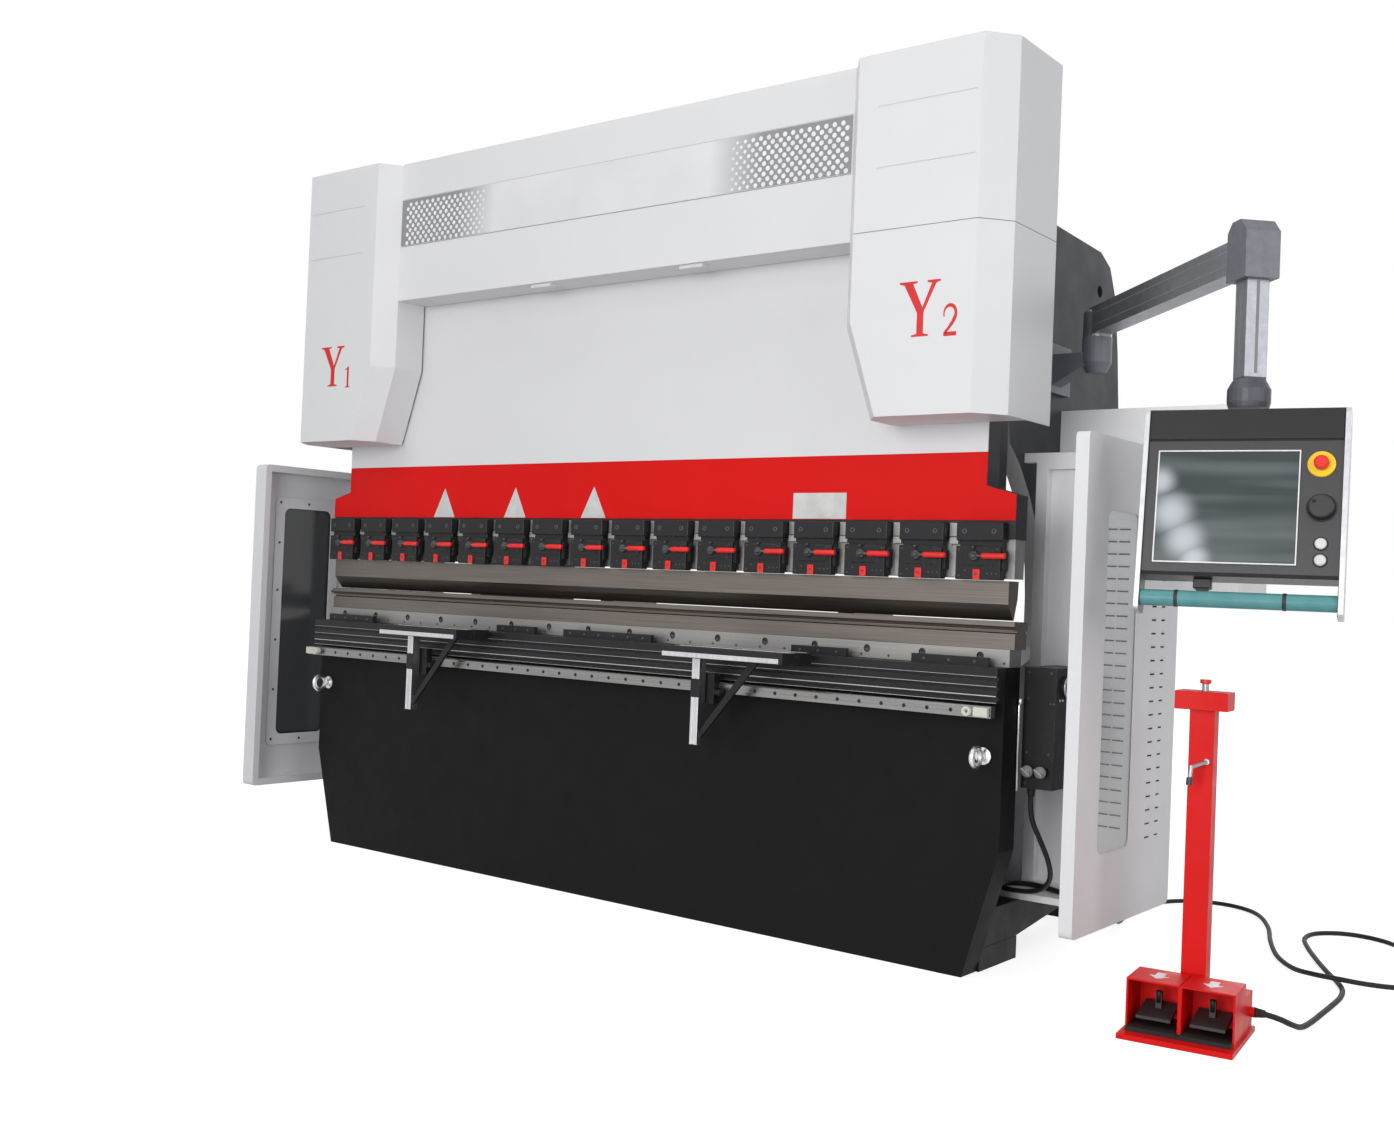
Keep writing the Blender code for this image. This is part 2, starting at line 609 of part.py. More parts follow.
def build_supports():
    axis_y = -0.218
    for name, x, length in (("left", -0.865, 0.430), ("right", 0.553, 0.480)):
        front = -0.1603
        carriage = box(x - 0.032, x + 0.045, axis_y + POST_SWEEP, front, 0.760, 0.862)
        knob = tube((x + 0.045, -0.179, 0.800), (x + 0.070, -0.179, 0.800), 0.014, 14)
        link("carriage_" + name, join(carriage, knob), BLACK, 0.45, 0.2, pivot=(x, axis_y, 0.80))
        post = box(x - 0.016, x + 0.016, axis_y - 0.020, axis_y + 0.020 - GAP, 0.622, 0.915)
        top = bevelled(box(x - 0.066, x - 0.066 + length, -0.340, -0.168, 0.915 - 0.001, 0.952), 0.003, 1)
        arm = join(post, top)
        gusset = [(x + 0.010, 0.640), (x + 0.010, 0.690), (x + 0.205, 0.916), (x + 0.260, 0.916)]
        arm = join(arm, prism(gusset, "y", axis_y - 0.006, axis_y + 0.006))
        slot = box(x - 0.08, x + length, -0.262, -0.246, 0.940, 0.960)
        link("arm_" + name, cut(arm, slot), BRIGHT, 0.4, 0.8, pivot=(x, axis_y, 0.80))


def door_panel(side, thickness, top):
    inner = DOOR_OUT_X - thickness
    outline = rounded(DOOR_FRONT_Y, DOOR_BACK_Y, DOOR_LOW_Z, top, 0.018, 3)
    xs = sorted((side * inner, side * DOOR_OUT_X))
    panel = prism(outline, "x", xs[0], xs[1])
    hollow = sorted((side * (inner - 0.01), side * (DOOR_OUT_X - SHEET)))
    panel = cut(panel, box(hollow[0], hollow[1], DOOR_FRONT_Y + DOOR_RIM, DOOR_BACK_Y - DOOR_RIM,
                           DOOR_LOW_Z + DOOR_RIM, top - DOOR_RIM))
    through = sorted((side * (inner - 0.01), side * (DOOR_OUT_X + 0.01)))
    return cut(panel, prism(rounded(WIN_Y0, WIN_Y1, WIN_Z0, WIN_Z1, WIN_R), "x", through[0], through[1]))


def build_doors():
    for name, side, thickness, top in (("left", -1.0, DOOR_T, DOOR_TOP_Z),
                                       ("right", 1.0, DOOR_T_RIGHT, DOOR_TOP_Z_RIGHT)):
        axis = (side * (DOOR_OUT_X - thickness / 2), DOOR_BACK_Y + 0.015, 0.90)
        link("door_" + name, door_panel(side, thickness, top), WHITE, 0.4, 0.0, pivot=axis)
        back = DOOR_OUT_X - SHEET - GAP
        xs = sorted((side * (back - SHEET), side * back))
        pane = prism(rounded(WIN_Y0 - 0.025, WIN_Y1 + 0.025, WIN_Z0 - 0.025, WIN_Z1 + 0.025, WIN_R), "x",
                     xs[0], xs[1])
        link("pane_" + name, pane, (0.25, 0.27, 0.28), 0.1, 0.0, pivot=axis)

        near = FRAME_OUT_X + GAP
        xs = sorted((side * (near + 0.045), side * ENCLOSURE_X))
        panel = box(xs[0], xs[1], PANEL_Y, PANEL_Y + PANEL_T, SHELF_Z, PANEL_TOP_Z)
        recess = sorted((side * (near + 0.085), side * (ENCLOSURE_X - 0.040)))
        panel = cut(panel, box(recess[0], recess[1], PANEL_Y - 0.01, PANEL_Y + PANEL_T - SHEET,
                               SHELF_Z + 0.04, PANEL_TOP_Z - 0.055))
        rail = sorted((side * near, side * (near + 0.08)))
        panel = join(panel, box(rail[0], rail[1], PANEL_Y, PANEL_Y + PANEL_T, PANEL_TOP_Z - 0.032, PANEL_TOP_Z))
        shelf = sorted((side * near, side * ENCLOSURE_X))
        panel = join(panel, box(shelf[0], shelf[1], SHELF_FRONT_Y, PANEL_Y + PANEL_T, SHELF_Z,
                                SHELF_Z + SHELF_T))
        if side > 0:
            tray = SHELF_Z + SHELF_T
            panel = cut(panel, box(CORD_HOLE_X - 0.030, CORD_HOLE_X + 0.030, PANEL_Y - 0.010,
                                   PANEL_Y + PANEL_T + 0.010, tray, tray + 0.040))
        link("enclosure_" + name, panel, WHITE, 0.4, 0.0)


def build_cabinet():
    body = bevelled(box(CAB_X0, CAB_X1, CAB_Y0, CAB_Y1, CAB_Z0, CAB_Z1), 0.004, 1)
    hollow = box(CAB_X0 + 0.02, CAB_X1 + 0.01, CAB_Y0 + 0.003, CAB_Y1 - 0.003, CAB_Z0 + 0.02, CAB_Z1 - 0.02)
    link("cabinet_body", cut(body, hollow), WHITE, 0.4, 0.0)
    near = CAB_X1 + GAP
    far = near + CAB_DOOR_T
    door = bevelled(box(near, far, CAB_Y0, CAB_Y1, CAB_Z0, CAB_Z1), 0.004, 1)
    handle = box(far - 0.002, far + 0.022, CAB_Y0 + 0.030, CAB_Y0 + 0.055, 1.430, 1.550)
    link("cabinet_door", join(door, handle), WHITE, 0.4, 0.0, pivot=(near + 0.010, CAB_Y1, CAB_Z0))


def build_drive_box():
    near = BED_HALF + GAP
    body = bevelled(box(near, near + DRIVE_W, DRIVE_FRONT_Y, DRIVE_BACK_Y, DRIVE_LOW_Z, DRIVE_TOP_Z), 0.004, 1)
    body = join(body, box(near, near + DRIVE_W - 0.005, DRIVE_FRONT_Y + 0.001, SOCKET_BACK_Y, SOCKET_LOW_Z,
                          DRIVE_LOW_Z + 0.010))
    body = join(body, tube((near + 0.09, 0.122, 0.888), (near + 0.112, 0.122, 0.888), 0.034, 24))
    for x in (near + 0.033, near + 0.075):
        body = join(body, tube((x, DRIVE_FRONT_Y + 0.020, 0.631), (x, DRIVE_FRONT_Y - 0.024, 0.631), 0.017, 16))
    link("drive_box", body, BLACK, 0.45, 0.2)


def build_pendant():
    near = FRAME_OUT_X + GAP
    z1 = ARM_Z - 0.055
    plate = bevelled(box(near, near + 0.018, PIVOT_Y - 0.075, PIVOT_Y + 0.115, 1.865, z1 - 0.012), 0.004, 1)
    web = [(near + 0.010, 1.885), (near + 0.010, z1 - 0.05), (PIVOT_X, z1 - 0.05), (PIVOT_X, 1.965)]
    bracket = join(plate, prism(web, "y", PIVOT_Y - 0.038, PIVOT_Y + 0.038))
    bracket = join(bracket, turned([(0.032, 0.0), (0.050, 0.035), (0.050, z1 - 1.925)],
                                   (PIVOT_X, PIVOT_Y, 1.925), (0.0, 0.0, 1.0), 24))
    link("arm_bracket", bracket, CAST, 0.5, 0.3)

    along = Vector((DROP_X - PIVOT_X, DROP_Y - PIVOT_Y, 0.0))
    length = along.length
    heading = math.atan2(along.y, along.x)
    half = 0.034
    bar = bevelled(box(0.0, length - 0.045, -half, half, -0.045, 0.045), 0.008, 2)
    swivel = turned([(0.048, -0.055 + GAP), (0.048, 0.030), (0.040, 0.040)], (0.0, 0.0, 0.0), (0.0, 0.0, 1.0), 24)
    boom = join(bar, swivel)
    elbow = prism([(length - 0.055, -0.075), (length + 0.050, -0.075), (length + 0.050, 0.050),
                   (length + 0.015, 0.085), (length - 0.030, 0.085), (length - 0.055, 0.060)], "y", -0.048, 0.048)
    boom = join(boom, elbow)
    turn = Matrix.Translation((PIVOT_X, PIVOT_Y, ARM_Z)) @ Matrix.Rotation(heading, 4, "Z")
    link("boom", place(boom, turn), BRIGHT, 0.35, 0.7, pivot=(PIVOT_X, PIVOT_Y, ARM_Z))

    tube_top = ARM_Z - 0.075 - GAP
    drop = bevelled(box(-0.031, 0.031, -0.031, 0.031, 1.748, tube_top), 0.006, 2)
    drop = join(drop, turned([(0.052, -0.064), (0.056, -0.050), (0.056, -0.015), (0.046, 0.004), (0.040, 0.012)],
                             (0.0, 0.0, 1.748), (0.0, 0.0, 1.0), 24))
    drop = join(drop, tube((-0.060, 0.0, 1.768), (-0.025, 0.0, 1.768), 0.008, 10))
    turn = Matrix.Translation((DROP_X, DROP_Y, 0.0)) @ Matrix.Rotation(heading, 4, "Z")
    link("drop_tube", place(drop, turn), BRIGHT, 0.35, 0.7, pivot=(DROP_X, DROP_Y, tube_top))

    axis = (DROP_X, DROP_Y, PENDANT_TOP_Z)
    seat = Matrix.Translation((DROP_X, DROP_Y, PENDANT_TOP_Z)) @ Matrix.Rotation(PENDANT_YAW, 4, "Z")
    lean = seat @ Matrix.Rotation(-PENDANT_TILT, 4, "X")
    front = -0.055
    back = front + PENDANT_D
    case = box(-PENDANT_HALF, PENDANT_HALF, front, back, -PENDANT_H, -0.006)
    hollow_low = -PENDANT_H - 0.125
    for side in (-1.0, 1.0):
        xs = sorted((side * (PENDANT_HALF - 0.002), side * (PENDANT_HALF + PENDANT_EDGE)))
        flank = rounded(front - 0.006, back - 0.010, hollow_low + 0.030, -0.004, 0.014, 3)
        case = join(case, prism(flank, "x", xs[0], xs[1]))
    for z in (BUTTON_UPPER_Z, BUTTON_LOWER_Z):
        case = cut(case, tube((BUTTON_X, front - 0.01, z), (BUTTON_X, front + BUTTON_POCKET, z),
                              BUTTON_R + 0.0005, 24))
    link("pendant_box", place(case, lean), DARK, 0.4, 0.1, pivot=axis)
    screen = box(-0.214, 0.140, front - 0.0035, front - GAP, -0.424, -0.120)
    link("pendant_screen", place(screen, lean), (0.05, 0.06, 0.065), 0.15, 0.0, pivot=axis)
    grip_z = -PENDANT_H - 0.058
    grip = bmesh.new()
    reach = PENDANT_HALF - 0.002 - GAP
    tube_between(grip, (-reach, front + 0.020, grip_z), (reach, front + 0.020, grip_z), 0.0215, 20)
    link("pendant_grip", place(grip, lean), (0.06, 0.22, 0.22), 0.5, 0.0, pivot=axis)

    normal = (lean.to_3x3() @ Vector((0.0, -1.0, 0.0))).normalized()
    rise = BUTTON_POCKET - BUTTON_TRAVEL - 0.0005
    cap = [(BUTTON_R, 0.0), (BUTTON_R, 0.007), (BUTTON_R - 0.0025, 0.009 + rise)]
    dial = [(0.033, 0.0), (0.033, 0.016), (0.030, 0.024), (0.027, 0.026)]
    head = [(0.010, 0.0), (0.010, ESTOP_BASE_T + 0.001), (0.018, ESTOP_BASE_T + 0.002),
            (0.018, 0.023), (0.014, 0.027)]
    for name, profile, x, z, lift, rgb in (
            ("speed_knob", dial, 0.194, -0.272, GAP, BLACK),
            ("button_upper", cap, BUTTON_X, BUTTON_UPPER_Z, -rise, (0.7, 0.7, 0.7)),
            ("button_lower", cap, BUTTON_X, BUTTON_LOWER_Z, -rise, (0.7, 0.7, 0.7)),
            ("estop_head", head, ESTOP_X, ESTOP_Z, ESTOP_TRAVEL + 0.001, RED)):
        spot = lean @ Vector((x, front - lift, z))
        link(name, turned(profile, spot, normal, 24), rgb, 0.4, 0.0, pivot=spot, smooth=True)
    spot = lean @ Vector((ESTOP_X, front - GAP, ESTOP_Z))
    ring = turned([(0.034, 0.0), (0.034, ESTOP_BASE_T - 0.002), (0.031, ESTOP_BASE_T)], spot, normal, 24)
    bore = turned([(0.0108, -0.01), (0.0108, 0.03)], spot, normal, 24)
    link("estop_base", cut(ring, bore), (0.8, 0.5, 0.01), 0.4, 0.0, pivot=spot)


def stand_turn():
    """The loose pedal stand is set down slightly turned about the middle of its base."""
    middle = Vector(((STAND_X0 + STAND_X1) / 2, (STAND_Y0 + STAND_Y1) / 2, 0.0))
    return Matrix.Translation(middle) @ Matrix.Rotation(STAND_TURN, 4, "Z") @ Matrix.Translation(-middle)


def link_on_stand(name, bm, rgb, rough, metal, pivot=(0.0, 0.0, 0.0), smooth=False):
    turn = stand_turn()
    bmesh.ops.transform(bm, matrix=turn, verts=bm.verts)
    spot = turn @ Vector(pivot) if any(pivot) else Vector(pivot)
    link(name, bm, rgb, rough, metal, pivot=tuple(spot), smooth=smooth)


def build_stand():
    base = bevelled(box(STAND_X0, STAND_X1, STAND_Y0, STAND_Y1, 0.0, STAND_BASE_T), 0.002, 1)
    x0 = STAND_X0 + 0.008
    x1 = STAND_X1 - 0.008
    middle = (x0 + x1) / 2
    hood = box(x0, x1, HOOD_Y0, HOOD_Y1, STAND_BASE_T - 0.002, HOOD_TOP_Z)
    wall = 0.005
    for low, high in ((x0 + wall, middle - wall), (middle + wall, x1 - wall)):
        hood = cut(hood, box(low, high, HOOD_Y0 - 0.01, HOOD_Y1 - wall, STAND_BASE_T, HOOD_TOP_Z - wall))
    hood = cut(hood, box(middle - 0.0015, middle + 0.0015, HOOD_Y0 - 0.01, HOOD_Y1 + 0.01,
                         HOOD_TOP_Z - 0.004, HOOD_TOP_Z + 0.01))
    body = join(base, hood)
    body = join(body, box(x0 + 0.004, x1, HOOD_Y1 - 0.002, STAND_Y1 - 0.008, STAND_BASE_T - 0.002, 0.112))
    body = join(body, tube((x1 - 0.004, CORD_EXIT_Y, CORD_EXIT_Z), (x1 + CORD_EXIT_REACH, CORD_EXIT_Y, CORD_EXIT_Z),
                           0.014, 16))
    link_on_stand("stand_base", body, RED, 0.35, 0.0)

    half = COLUMN_W / 2
    column = bevelled(box(COLUMN_X - half, COLUMN_X + half, COLUMN_Y - half, COLUMN_Y + 0.026,
                          0.112 + GAP, CAP_LOW_Z + 0.004), 0.003, 1)
    cap = bevelled(box(COLUMN_X - 0.070, COLUMN_X + 0.070, COLUMN_Y - 0.055, COLUMN_Y + 0.045,
                       CAP_LOW_Z, CAP_TOP_Z), 0.003, 1)
    column = join(column, cap)
    column = cut(column, tube((COLUMN_X, COLUMN_Y, CAP_TOP_Z - 0.014), (COLUMN_X, COLUMN_Y, CAP_TOP_Z + 0.01),
                              0.0098, 20))
    link_on_stand("stand_column", column, RED, 0.35, 0.0)

    top = (COLUMN_X, COLUMN_Y, CAP_TOP_Z - 0.003)
    knob = turned([(0.009, 0.0), (0.009, 0.023), (0.015, 0.025), (0.015, 0.035)], top, (0.0, 0.0, 1.0), 20)
    link_on_stand("stand_button", knob, RED, 0.35, 0.0, pivot=top, smooth=True)

    face = COLUMN_Y - half - GAP
    hub = (COLUMN_X + 0.018, face, 0.728)
    crank = tube(hub, (hub[0], face - 0.012, hub[2]), 0.0080, 12)
    crank = join(crank, tube((hub[0], face - 0.007, hub[2]), (COLUMN_X - 0.010, face - 0.070, 0.716), 0.0055, 12))
    crank = join(crank, tube((COLUMN_X - 0.010, face - 0.066, 0.720), (COLUMN_X - 0.012, face - 0.074, 0.680),
                             0.0055, 12))
    crank = join(crank, tube((COLUMN_X - 0.0118, face - 0.073, 0.688), (COLUMN_X - 0.0125, face - 0.076, 0.668),
                             0.0085, 12))
    link_on_stand("stand_crank", crank, BRIGHT, 0.3, 0.9, pivot=hub)

    mats = bmesh.new()
    for low, high in ((x0 + wall + GAP, middle - wall - GAP), (middle + wall + GAP, x1 - wall - GAP)):
        add_box(mats, low, high, HOOD_Y0 - 0.020, HOOD_Y1 - 0.010, STAND_BASE_T + GAP, STAND_BASE_T + 0.012)
    strap = box(x0 + wall + 0.01, x1 - wall - 0.01, HOOD_Y0 - 0.020, HOOD_Y0 - GAP * 2,
                STAND_BASE_T + GAP, STAND_BASE_T + 0.008)
    link_on_stand("pedal_mat", join(mats, strap), BLACK, 0.7, 0.0)

    z0 = STAND_BASE_T + 0.012 + GAP
    for name, low, high in (("pedal_left", x0 + wall, middle - wall), ("pedal_right", middle + wall, x1 - wall)):
        centre = (low + high) / 2
        hinge = (centre, HOOD_Y1 - 0.022, z0 + 0.040)
        pedal = tube((centre - 0.030, hinge[1], hinge[2]), (centre + 0.030, hinge[1], hinge[2]), 0.006, 12)
        rise = [(hinge[1] + 0.004, hinge[2] - 0.005), (hinge[1] + 0.004, hinge[2] + 0.005),
                (HOOD_Y0 + 0.085, z0 + 0.040), (HOOD_Y0 + 0.010, z0 + 0.026), (HOOD_Y0 + 0.010, z0 + 0.018),
                (HOOD_Y0 + 0.085, z0 + 0.030)]
        pedal = join(pedal, prism(rise, "x", centre - 0.045, centre + 0.045))
        pedal = join(pedal, box(centre - 0.008, centre + 0.008, HOOD_Y0 + 0.070, HOOD_Y0 + 0.082,
                                z0 + 0.030, z0 + 0.080))
        link_on_stand(name, pedal, BLACK, 0.6, 0.1, pivot=hinge)


def smooth_route(points, spacing):
    """Even points on a Catmull-Rom curve through the route points."""
    dense = []
    ends = [points[0] * 2 - points[1]] + points + [points[-1] * 2 - points[-2]]
    for i in range(1, len(ends) - 2):
        p0, p1, p2, p3 = ends[i - 1:i + 3]
        for step in range(40):
            t = step / 40
            dense.append(0.5 * ((2 * p1) + (p2 - p0) * t + (2 * p0 - 5 * p1 + 4 * p2 - p3) * t * t
                                + (3 * p1 - p0 - 3 * p2 + p3) * t * t * t))
    dense.append(points[-1])
    result = [dense[0]]
    travelled = 0.0
    for a, b in zip(dense, dense[1:]):
        travelled += (b - a).length
        if travelled >= spacing:
            result.append(b)
            travelled = 0.0
    if (result[-1] - dense[-1]).length < spacing * 0.5:
        result.pop()
    result.append(dense[-1])
    return result


def build_cord():
    floor = CORD_D / 2 + 0.0015
    tray = SHELF_Z + SHELF_T + CORD_D / 2 + 0.0005
    leave = stand_turn() @ Vector((STAND_X1 - 0.008 + CORD_EXIT_REACH + GAP, CORD_EXIT_Y, CORD_EXIT_Z))
    outward = stand_turn().to_3x3() @ Vector((1.0, 0.0, 0.0))
    first = leave + outward * 0.022
    route = [
        (first.x, first.y, first.z),
        (2.4000, -0.0070, 0.0525), (2.4240, 0.0380, 0.0310), (2.4290, 0.1070, 0.0130),
        (2.4310, 0.2000, floor), (2.4300, 0.3000, floor), (2.4280, 0.4200, floor),
        (2.4230, 0.5300, floor), (2.4050, 0.6250, floor), (2.3680, 0.7150, floor),
        (2.3100, 0.8250, floor), (2.2400, 0.9700, floor), (2.1650, 1.1400, floor), (2.1220, 1.2700, floor),
        (2.1300, 1.3800, floor), (2.2000, 1.4550, floor), (2.2950, 1.4600, floor), (2.3900, 1.4000, floor),
        (2.5000, 1.2400, floor), (2.5800, 1.0600, floor), (2.5880, 0.9200, floor), (2.5350, 0.7900, 0.0110),
        (2.4600, 0.7050, 0.0220), (2.3800, 0.6720, 0.0295), (2.3000, 0.6900, 0.0265), (2.2200, 0.7700, 0.0150),
        (2.1300, 0.9200, floor), (2.0500, 1.1200, floor), (1.9700, 1.3600, floor), (1.8750, 1.5500, floor),
        (1.7700, 1.6300, floor), (1.6600, 1.6250, floor), (1.5700, 1.5500, floor), (1.5200, 1.4200, floor),
        (1.5160, 1.2700, floor), (1.5350, 1.1200, floor + 0.001), (1.5700, 0.9700, 0.0200),
        (1.6150, 0.8300, 0.0550), (1.6600, 0.6900, 0.1150), (1.6950, 0.5900, 0.1680), (1.7150, 0.5250, 0.2020),
        (CORD_HOLE_X, 0.4700, tray + 0.0060), (CORD_HOLE_X - 0.0040, 0.4170, tray + 0.0040),
        (1.6925, 0.3760, tray + 0.0020), (1.6580, 0.3560, tray + 0.0010), (1.6200, 0.3570, tray),
        (1.5750, 0.3780, tray), (1.5300, 0.4000, tray),
        (1.4850, 0.4050, tray), (1.4515, 0.3960, tray), (1.4270, 0.3715, tray),
        (1.4180, 0.3380, tray), (1.4270, 0.3045, tray), (1.4515, 0.2800, tray),
        (1.4870, 0.2705, tray + 0.0005), (1.5480, 0.2700, 0.2205), (1.6020, 0.2450, 0.244),
        (1.6420, 0.2010, 0.288), (1.6550, 0.1510, 0.348), (1.6430, 0.1130, 0.415),
        (1.6220, 0.0970, 0.475), (1.6160, 0.0950, 0.530), (1.6160, 0.0950, 0.551),
    ]
    points = [leave]
    points += smooth_route([Vector(p) for p in route], 0.080)
    points.append(Vector((1.616, 0.095, SOCKET_LOW_Z - 0.0005)))
    curve = bpy.data.curves.new("pedal_cord", "CURVE")
    curve.dimensions = "3D"
    curve.bevel_depth = CORD_D / 2
    curve.bevel_resolution = 2
    curve.use_fill_caps = True
    line = curve.splines.new("POLY")
    line.points.add(len(points) - 1)
    for target, p in zip(line.points, points):
        target.co = (p.x, p.y, p.z, 1.0)
    obj = bpy.data.objects.new("pedal_cord", curve)
    bpy.context.collection.objects.link(obj)
    obj.data.materials.append(material("pedal_cord", BLACK, 0.5, 0.0))


clear_scene()
build_frames()
build_bed()
build_drive()
build_covers()
build_ram()
build_gauge()
build_supports()
build_doors()
build_cabinet()
build_drive_box()
build_pendant()
build_stand()
build_cord()
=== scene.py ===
import math

import bmesh
import bpy
from mathutils import Matrix, Vector


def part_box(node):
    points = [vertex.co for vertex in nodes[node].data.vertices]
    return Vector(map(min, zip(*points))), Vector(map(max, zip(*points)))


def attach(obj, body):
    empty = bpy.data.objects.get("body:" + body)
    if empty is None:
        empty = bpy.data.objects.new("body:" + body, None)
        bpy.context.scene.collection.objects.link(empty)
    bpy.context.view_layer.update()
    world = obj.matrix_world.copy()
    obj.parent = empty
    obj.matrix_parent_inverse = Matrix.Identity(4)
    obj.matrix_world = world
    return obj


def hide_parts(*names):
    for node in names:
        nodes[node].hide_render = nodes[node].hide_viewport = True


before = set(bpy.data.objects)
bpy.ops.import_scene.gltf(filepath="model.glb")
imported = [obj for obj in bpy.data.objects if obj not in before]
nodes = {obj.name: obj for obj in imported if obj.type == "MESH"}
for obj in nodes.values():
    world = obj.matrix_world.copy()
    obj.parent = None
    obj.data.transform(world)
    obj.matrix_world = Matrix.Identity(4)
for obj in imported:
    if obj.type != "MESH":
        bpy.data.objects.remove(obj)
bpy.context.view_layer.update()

# ---------------- camera

CAMERA_PLACE = (3.5448, -4.1293, 1.1481)
CAMERA_YAW = 0.6573
CAMERA_PITCH = 0.0156
CAMERA_ROLL = 0.0408
CAMERA_LENS = 37.93


def make_camera():
    data = bpy.data.cameras.new("view_camera")
    data.sensor_width = 36.0
    data.sensor_fit = "HORIZONTAL"
    data.lens = CAMERA_LENS
    data.clip_start = 0.05
    data.clip_end = 100.0
    cam = bpy.data.objects.new("view_camera", data)
    bpy.context.scene.collection.objects.link(cam)
    forward = Vector((-math.sin(CAMERA_YAW) * math.cos(CAMERA_PITCH),
                      math.cos(CAMERA_YAW) * math.cos(CAMERA_PITCH), math.sin(CAMERA_PITCH)))
    level = Vector((math.cos(CAMERA_YAW), math.sin(CAMERA_YAW), 0.0))
    above = level.cross(forward)
    c = math.cos(CAMERA_ROLL)
    s = math.sin(CAMERA_ROLL)
    right = level * c + above * s
    up = above * c - level * s
    turn = Matrix((right, up, -forward)).transposed().to_4x4()
    cam.matrix_world = Matrix.Translation(CAMERA_PLACE) @ turn
    bpy.context.scene.camera = cam


make_camera()

# ---------------- node helpers


def add(tree, kind, **settings):
    item = tree.nodes.new(kind)
    for key, value in settings.items():
        setattr(item, key, value)
    return item


def join(tree, sources, item, output=0):
    """Feed each source, a socket or a constant, to the inputs of a node in order."""
    for source, socket in zip(sources, item.inputs):
        if isinstance(source, bpy.types.NodeSocket):
            tree.links.new(source, socket)
        else:
            socket.default_value = source
    return item.outputs[output] if item.outputs else None


def maths(tree, operation, *sources, **settings):
    return join(tree, sources, add(tree, "ShaderNodeMath", operation=operation, **settings))


def vectors(tree, operation, *sources, output=0):
    return join(tree, sources, add(tree, "ShaderNodeVectorMath", operation=operation), output)


def spread(tree, source, low, high, from_low=0.3, from_high=0.7):
    item = add(tree, "ShaderNodeMapRange")
    return join(tree, (source, from_low, from_high, low, high), item)


def seen_ray(tree):
    """1 on camera, glossy and transmission rays."""
    path = add(tree, "ShaderNodeLightPath").outputs
    direct = maths(tree, "MAXIMUM", path["Is Camera Ray"], path["Is Glossy Ray"])
    return maths(tree, "MAXIMUM", direct, path["Is Transmission Ray"])


# ---------------- light, floor, background

ROOM_COLOUR = (0.93, 0.96, 1.0, 1.0)
ROOM_LEVEL = 0.24
PLAIN_WHITE = (1.0, 1.0, 1.0, 1.0)
FLOOR_HALF = 40.0
FLOOR_DEPTH = -0.0005
FLOOR_GREY = (0.5, 0.5, 0.5, 1.0)
GLOW_NEAR = (2.6, 0.82)
GLOW_FAR = (6.0, 1.0)

scene = bpy.context.scene
scene.view_settings.view_transform = "Standard"


def make_world():
    world = bpy.data.worlds.new("studio")
    scene.world = world
    world.use_nodes = True
    tree = world.node_tree
    tree.nodes.clear()
    room = join(tree, (ROOM_COLOUR, ROOM_LEVEL), add(tree, "ShaderNodeBackground"))
    back = join(tree, (PLAIN_WHITE, 1.0), add(tree, "ShaderNodeBackground"))
    both = join(tree, (seen_ray(tree), room, back), add(tree, "ShaderNodeMixShader"))
    join(tree, (both,), add(tree, "ShaderNodeOutputWorld"))


def make_floor():
    """Pale floor that keeps its shadow; its own glow grows with the distance from the machine."""
    bm = bmesh.new()
    bm.faces.new([bm.verts.new((x * FLOOR_HALF, y * FLOOR_HALF, FLOOR_DEPTH))
                  for x, y in ((-1, -1), (1, -1), (1, 1), (-1, 1))])
    mesh = bpy.data.meshes.new("floor")
    bm.to_mesh(mesh)
    bm.free()
    floor = bpy.data.objects.new("floor", mesh)
    scene.collection.objects.link(floor)
    mat = bpy.data.materials.new("floor_pale")
    mat.use_nodes = True
    tree = mat.node_tree
    tree.nodes.clear()
    lit = join(tree, (FLOOR_GREY,), add(tree, "ShaderNodeBsdfDiffuse"))
    away = vectors(tree, "LENGTH", add(tree, "ShaderNodeNewGeometry").outputs["Position"], output="Value")
    level = spread(tree, away, GLOW_NEAR[1], GLOW_FAR[1], GLOW_NEAR[0], GLOW_FAR[0])
    glow = join(tree, (PLAIN_WHITE, maths(tree, "MULTIPLY", seen_ray(tree), level)),
                add(tree, "ShaderNodeEmission"))
    both = join(tree, (lit, glow), add(tree, "ShaderNodeAddShader"))
    join(tree, (both,), add(tree, "ShaderNodeOutputMaterial"))
    mesh.materials.append(mat)


def make_lamp(name, place, target, size, power):
    data = bpy.data.lights.new(name, "AREA")
    data.shape = "SQUARE"
    data.size = size
    data.energy = power
    lamp = bpy.data.objects.new(name, data)
    scene.collection.objects.link(lamp)
    lamp.location = place
    lamp.rotation_mode = "QUATERNION"
    lamp.rotation_quaternion = (Vector(target) - Vector(place)).to_track_quat("-Z", "Y")


make_world()
make_floor()
for lamp in (("key", (-3.0, -8.0, 4.5), (0.0, 0.0, 1.2), 5.0, 110.0),
             ("front", (2.6, -8.5, 1.9), (1.5, 0.0, 1.1), 4.0, 385.0),
             ("fill", (7.0, -2.0, 3.2), (1.4, 0.0, 1.2), 4.0, 120.0),
             ("top", (0.5, -1.0, 7.5), (0.0, 0.3, 1.0), 5.0, 130.0),
             ("rear", (1.0, 8.0, 5.0), (0.0, 0.5, 1.2), 5.0, 150.0)):
    make_lamp(*lamp)

# ---------------- materials

finishes = {}


def start_material(name):
    mat = bpy.data.materials.new(name)
    mat.use_nodes = True
    finishes[name] = mat
    return mat.node_tree, mat.node_tree.nodes["Principled BSDF"]


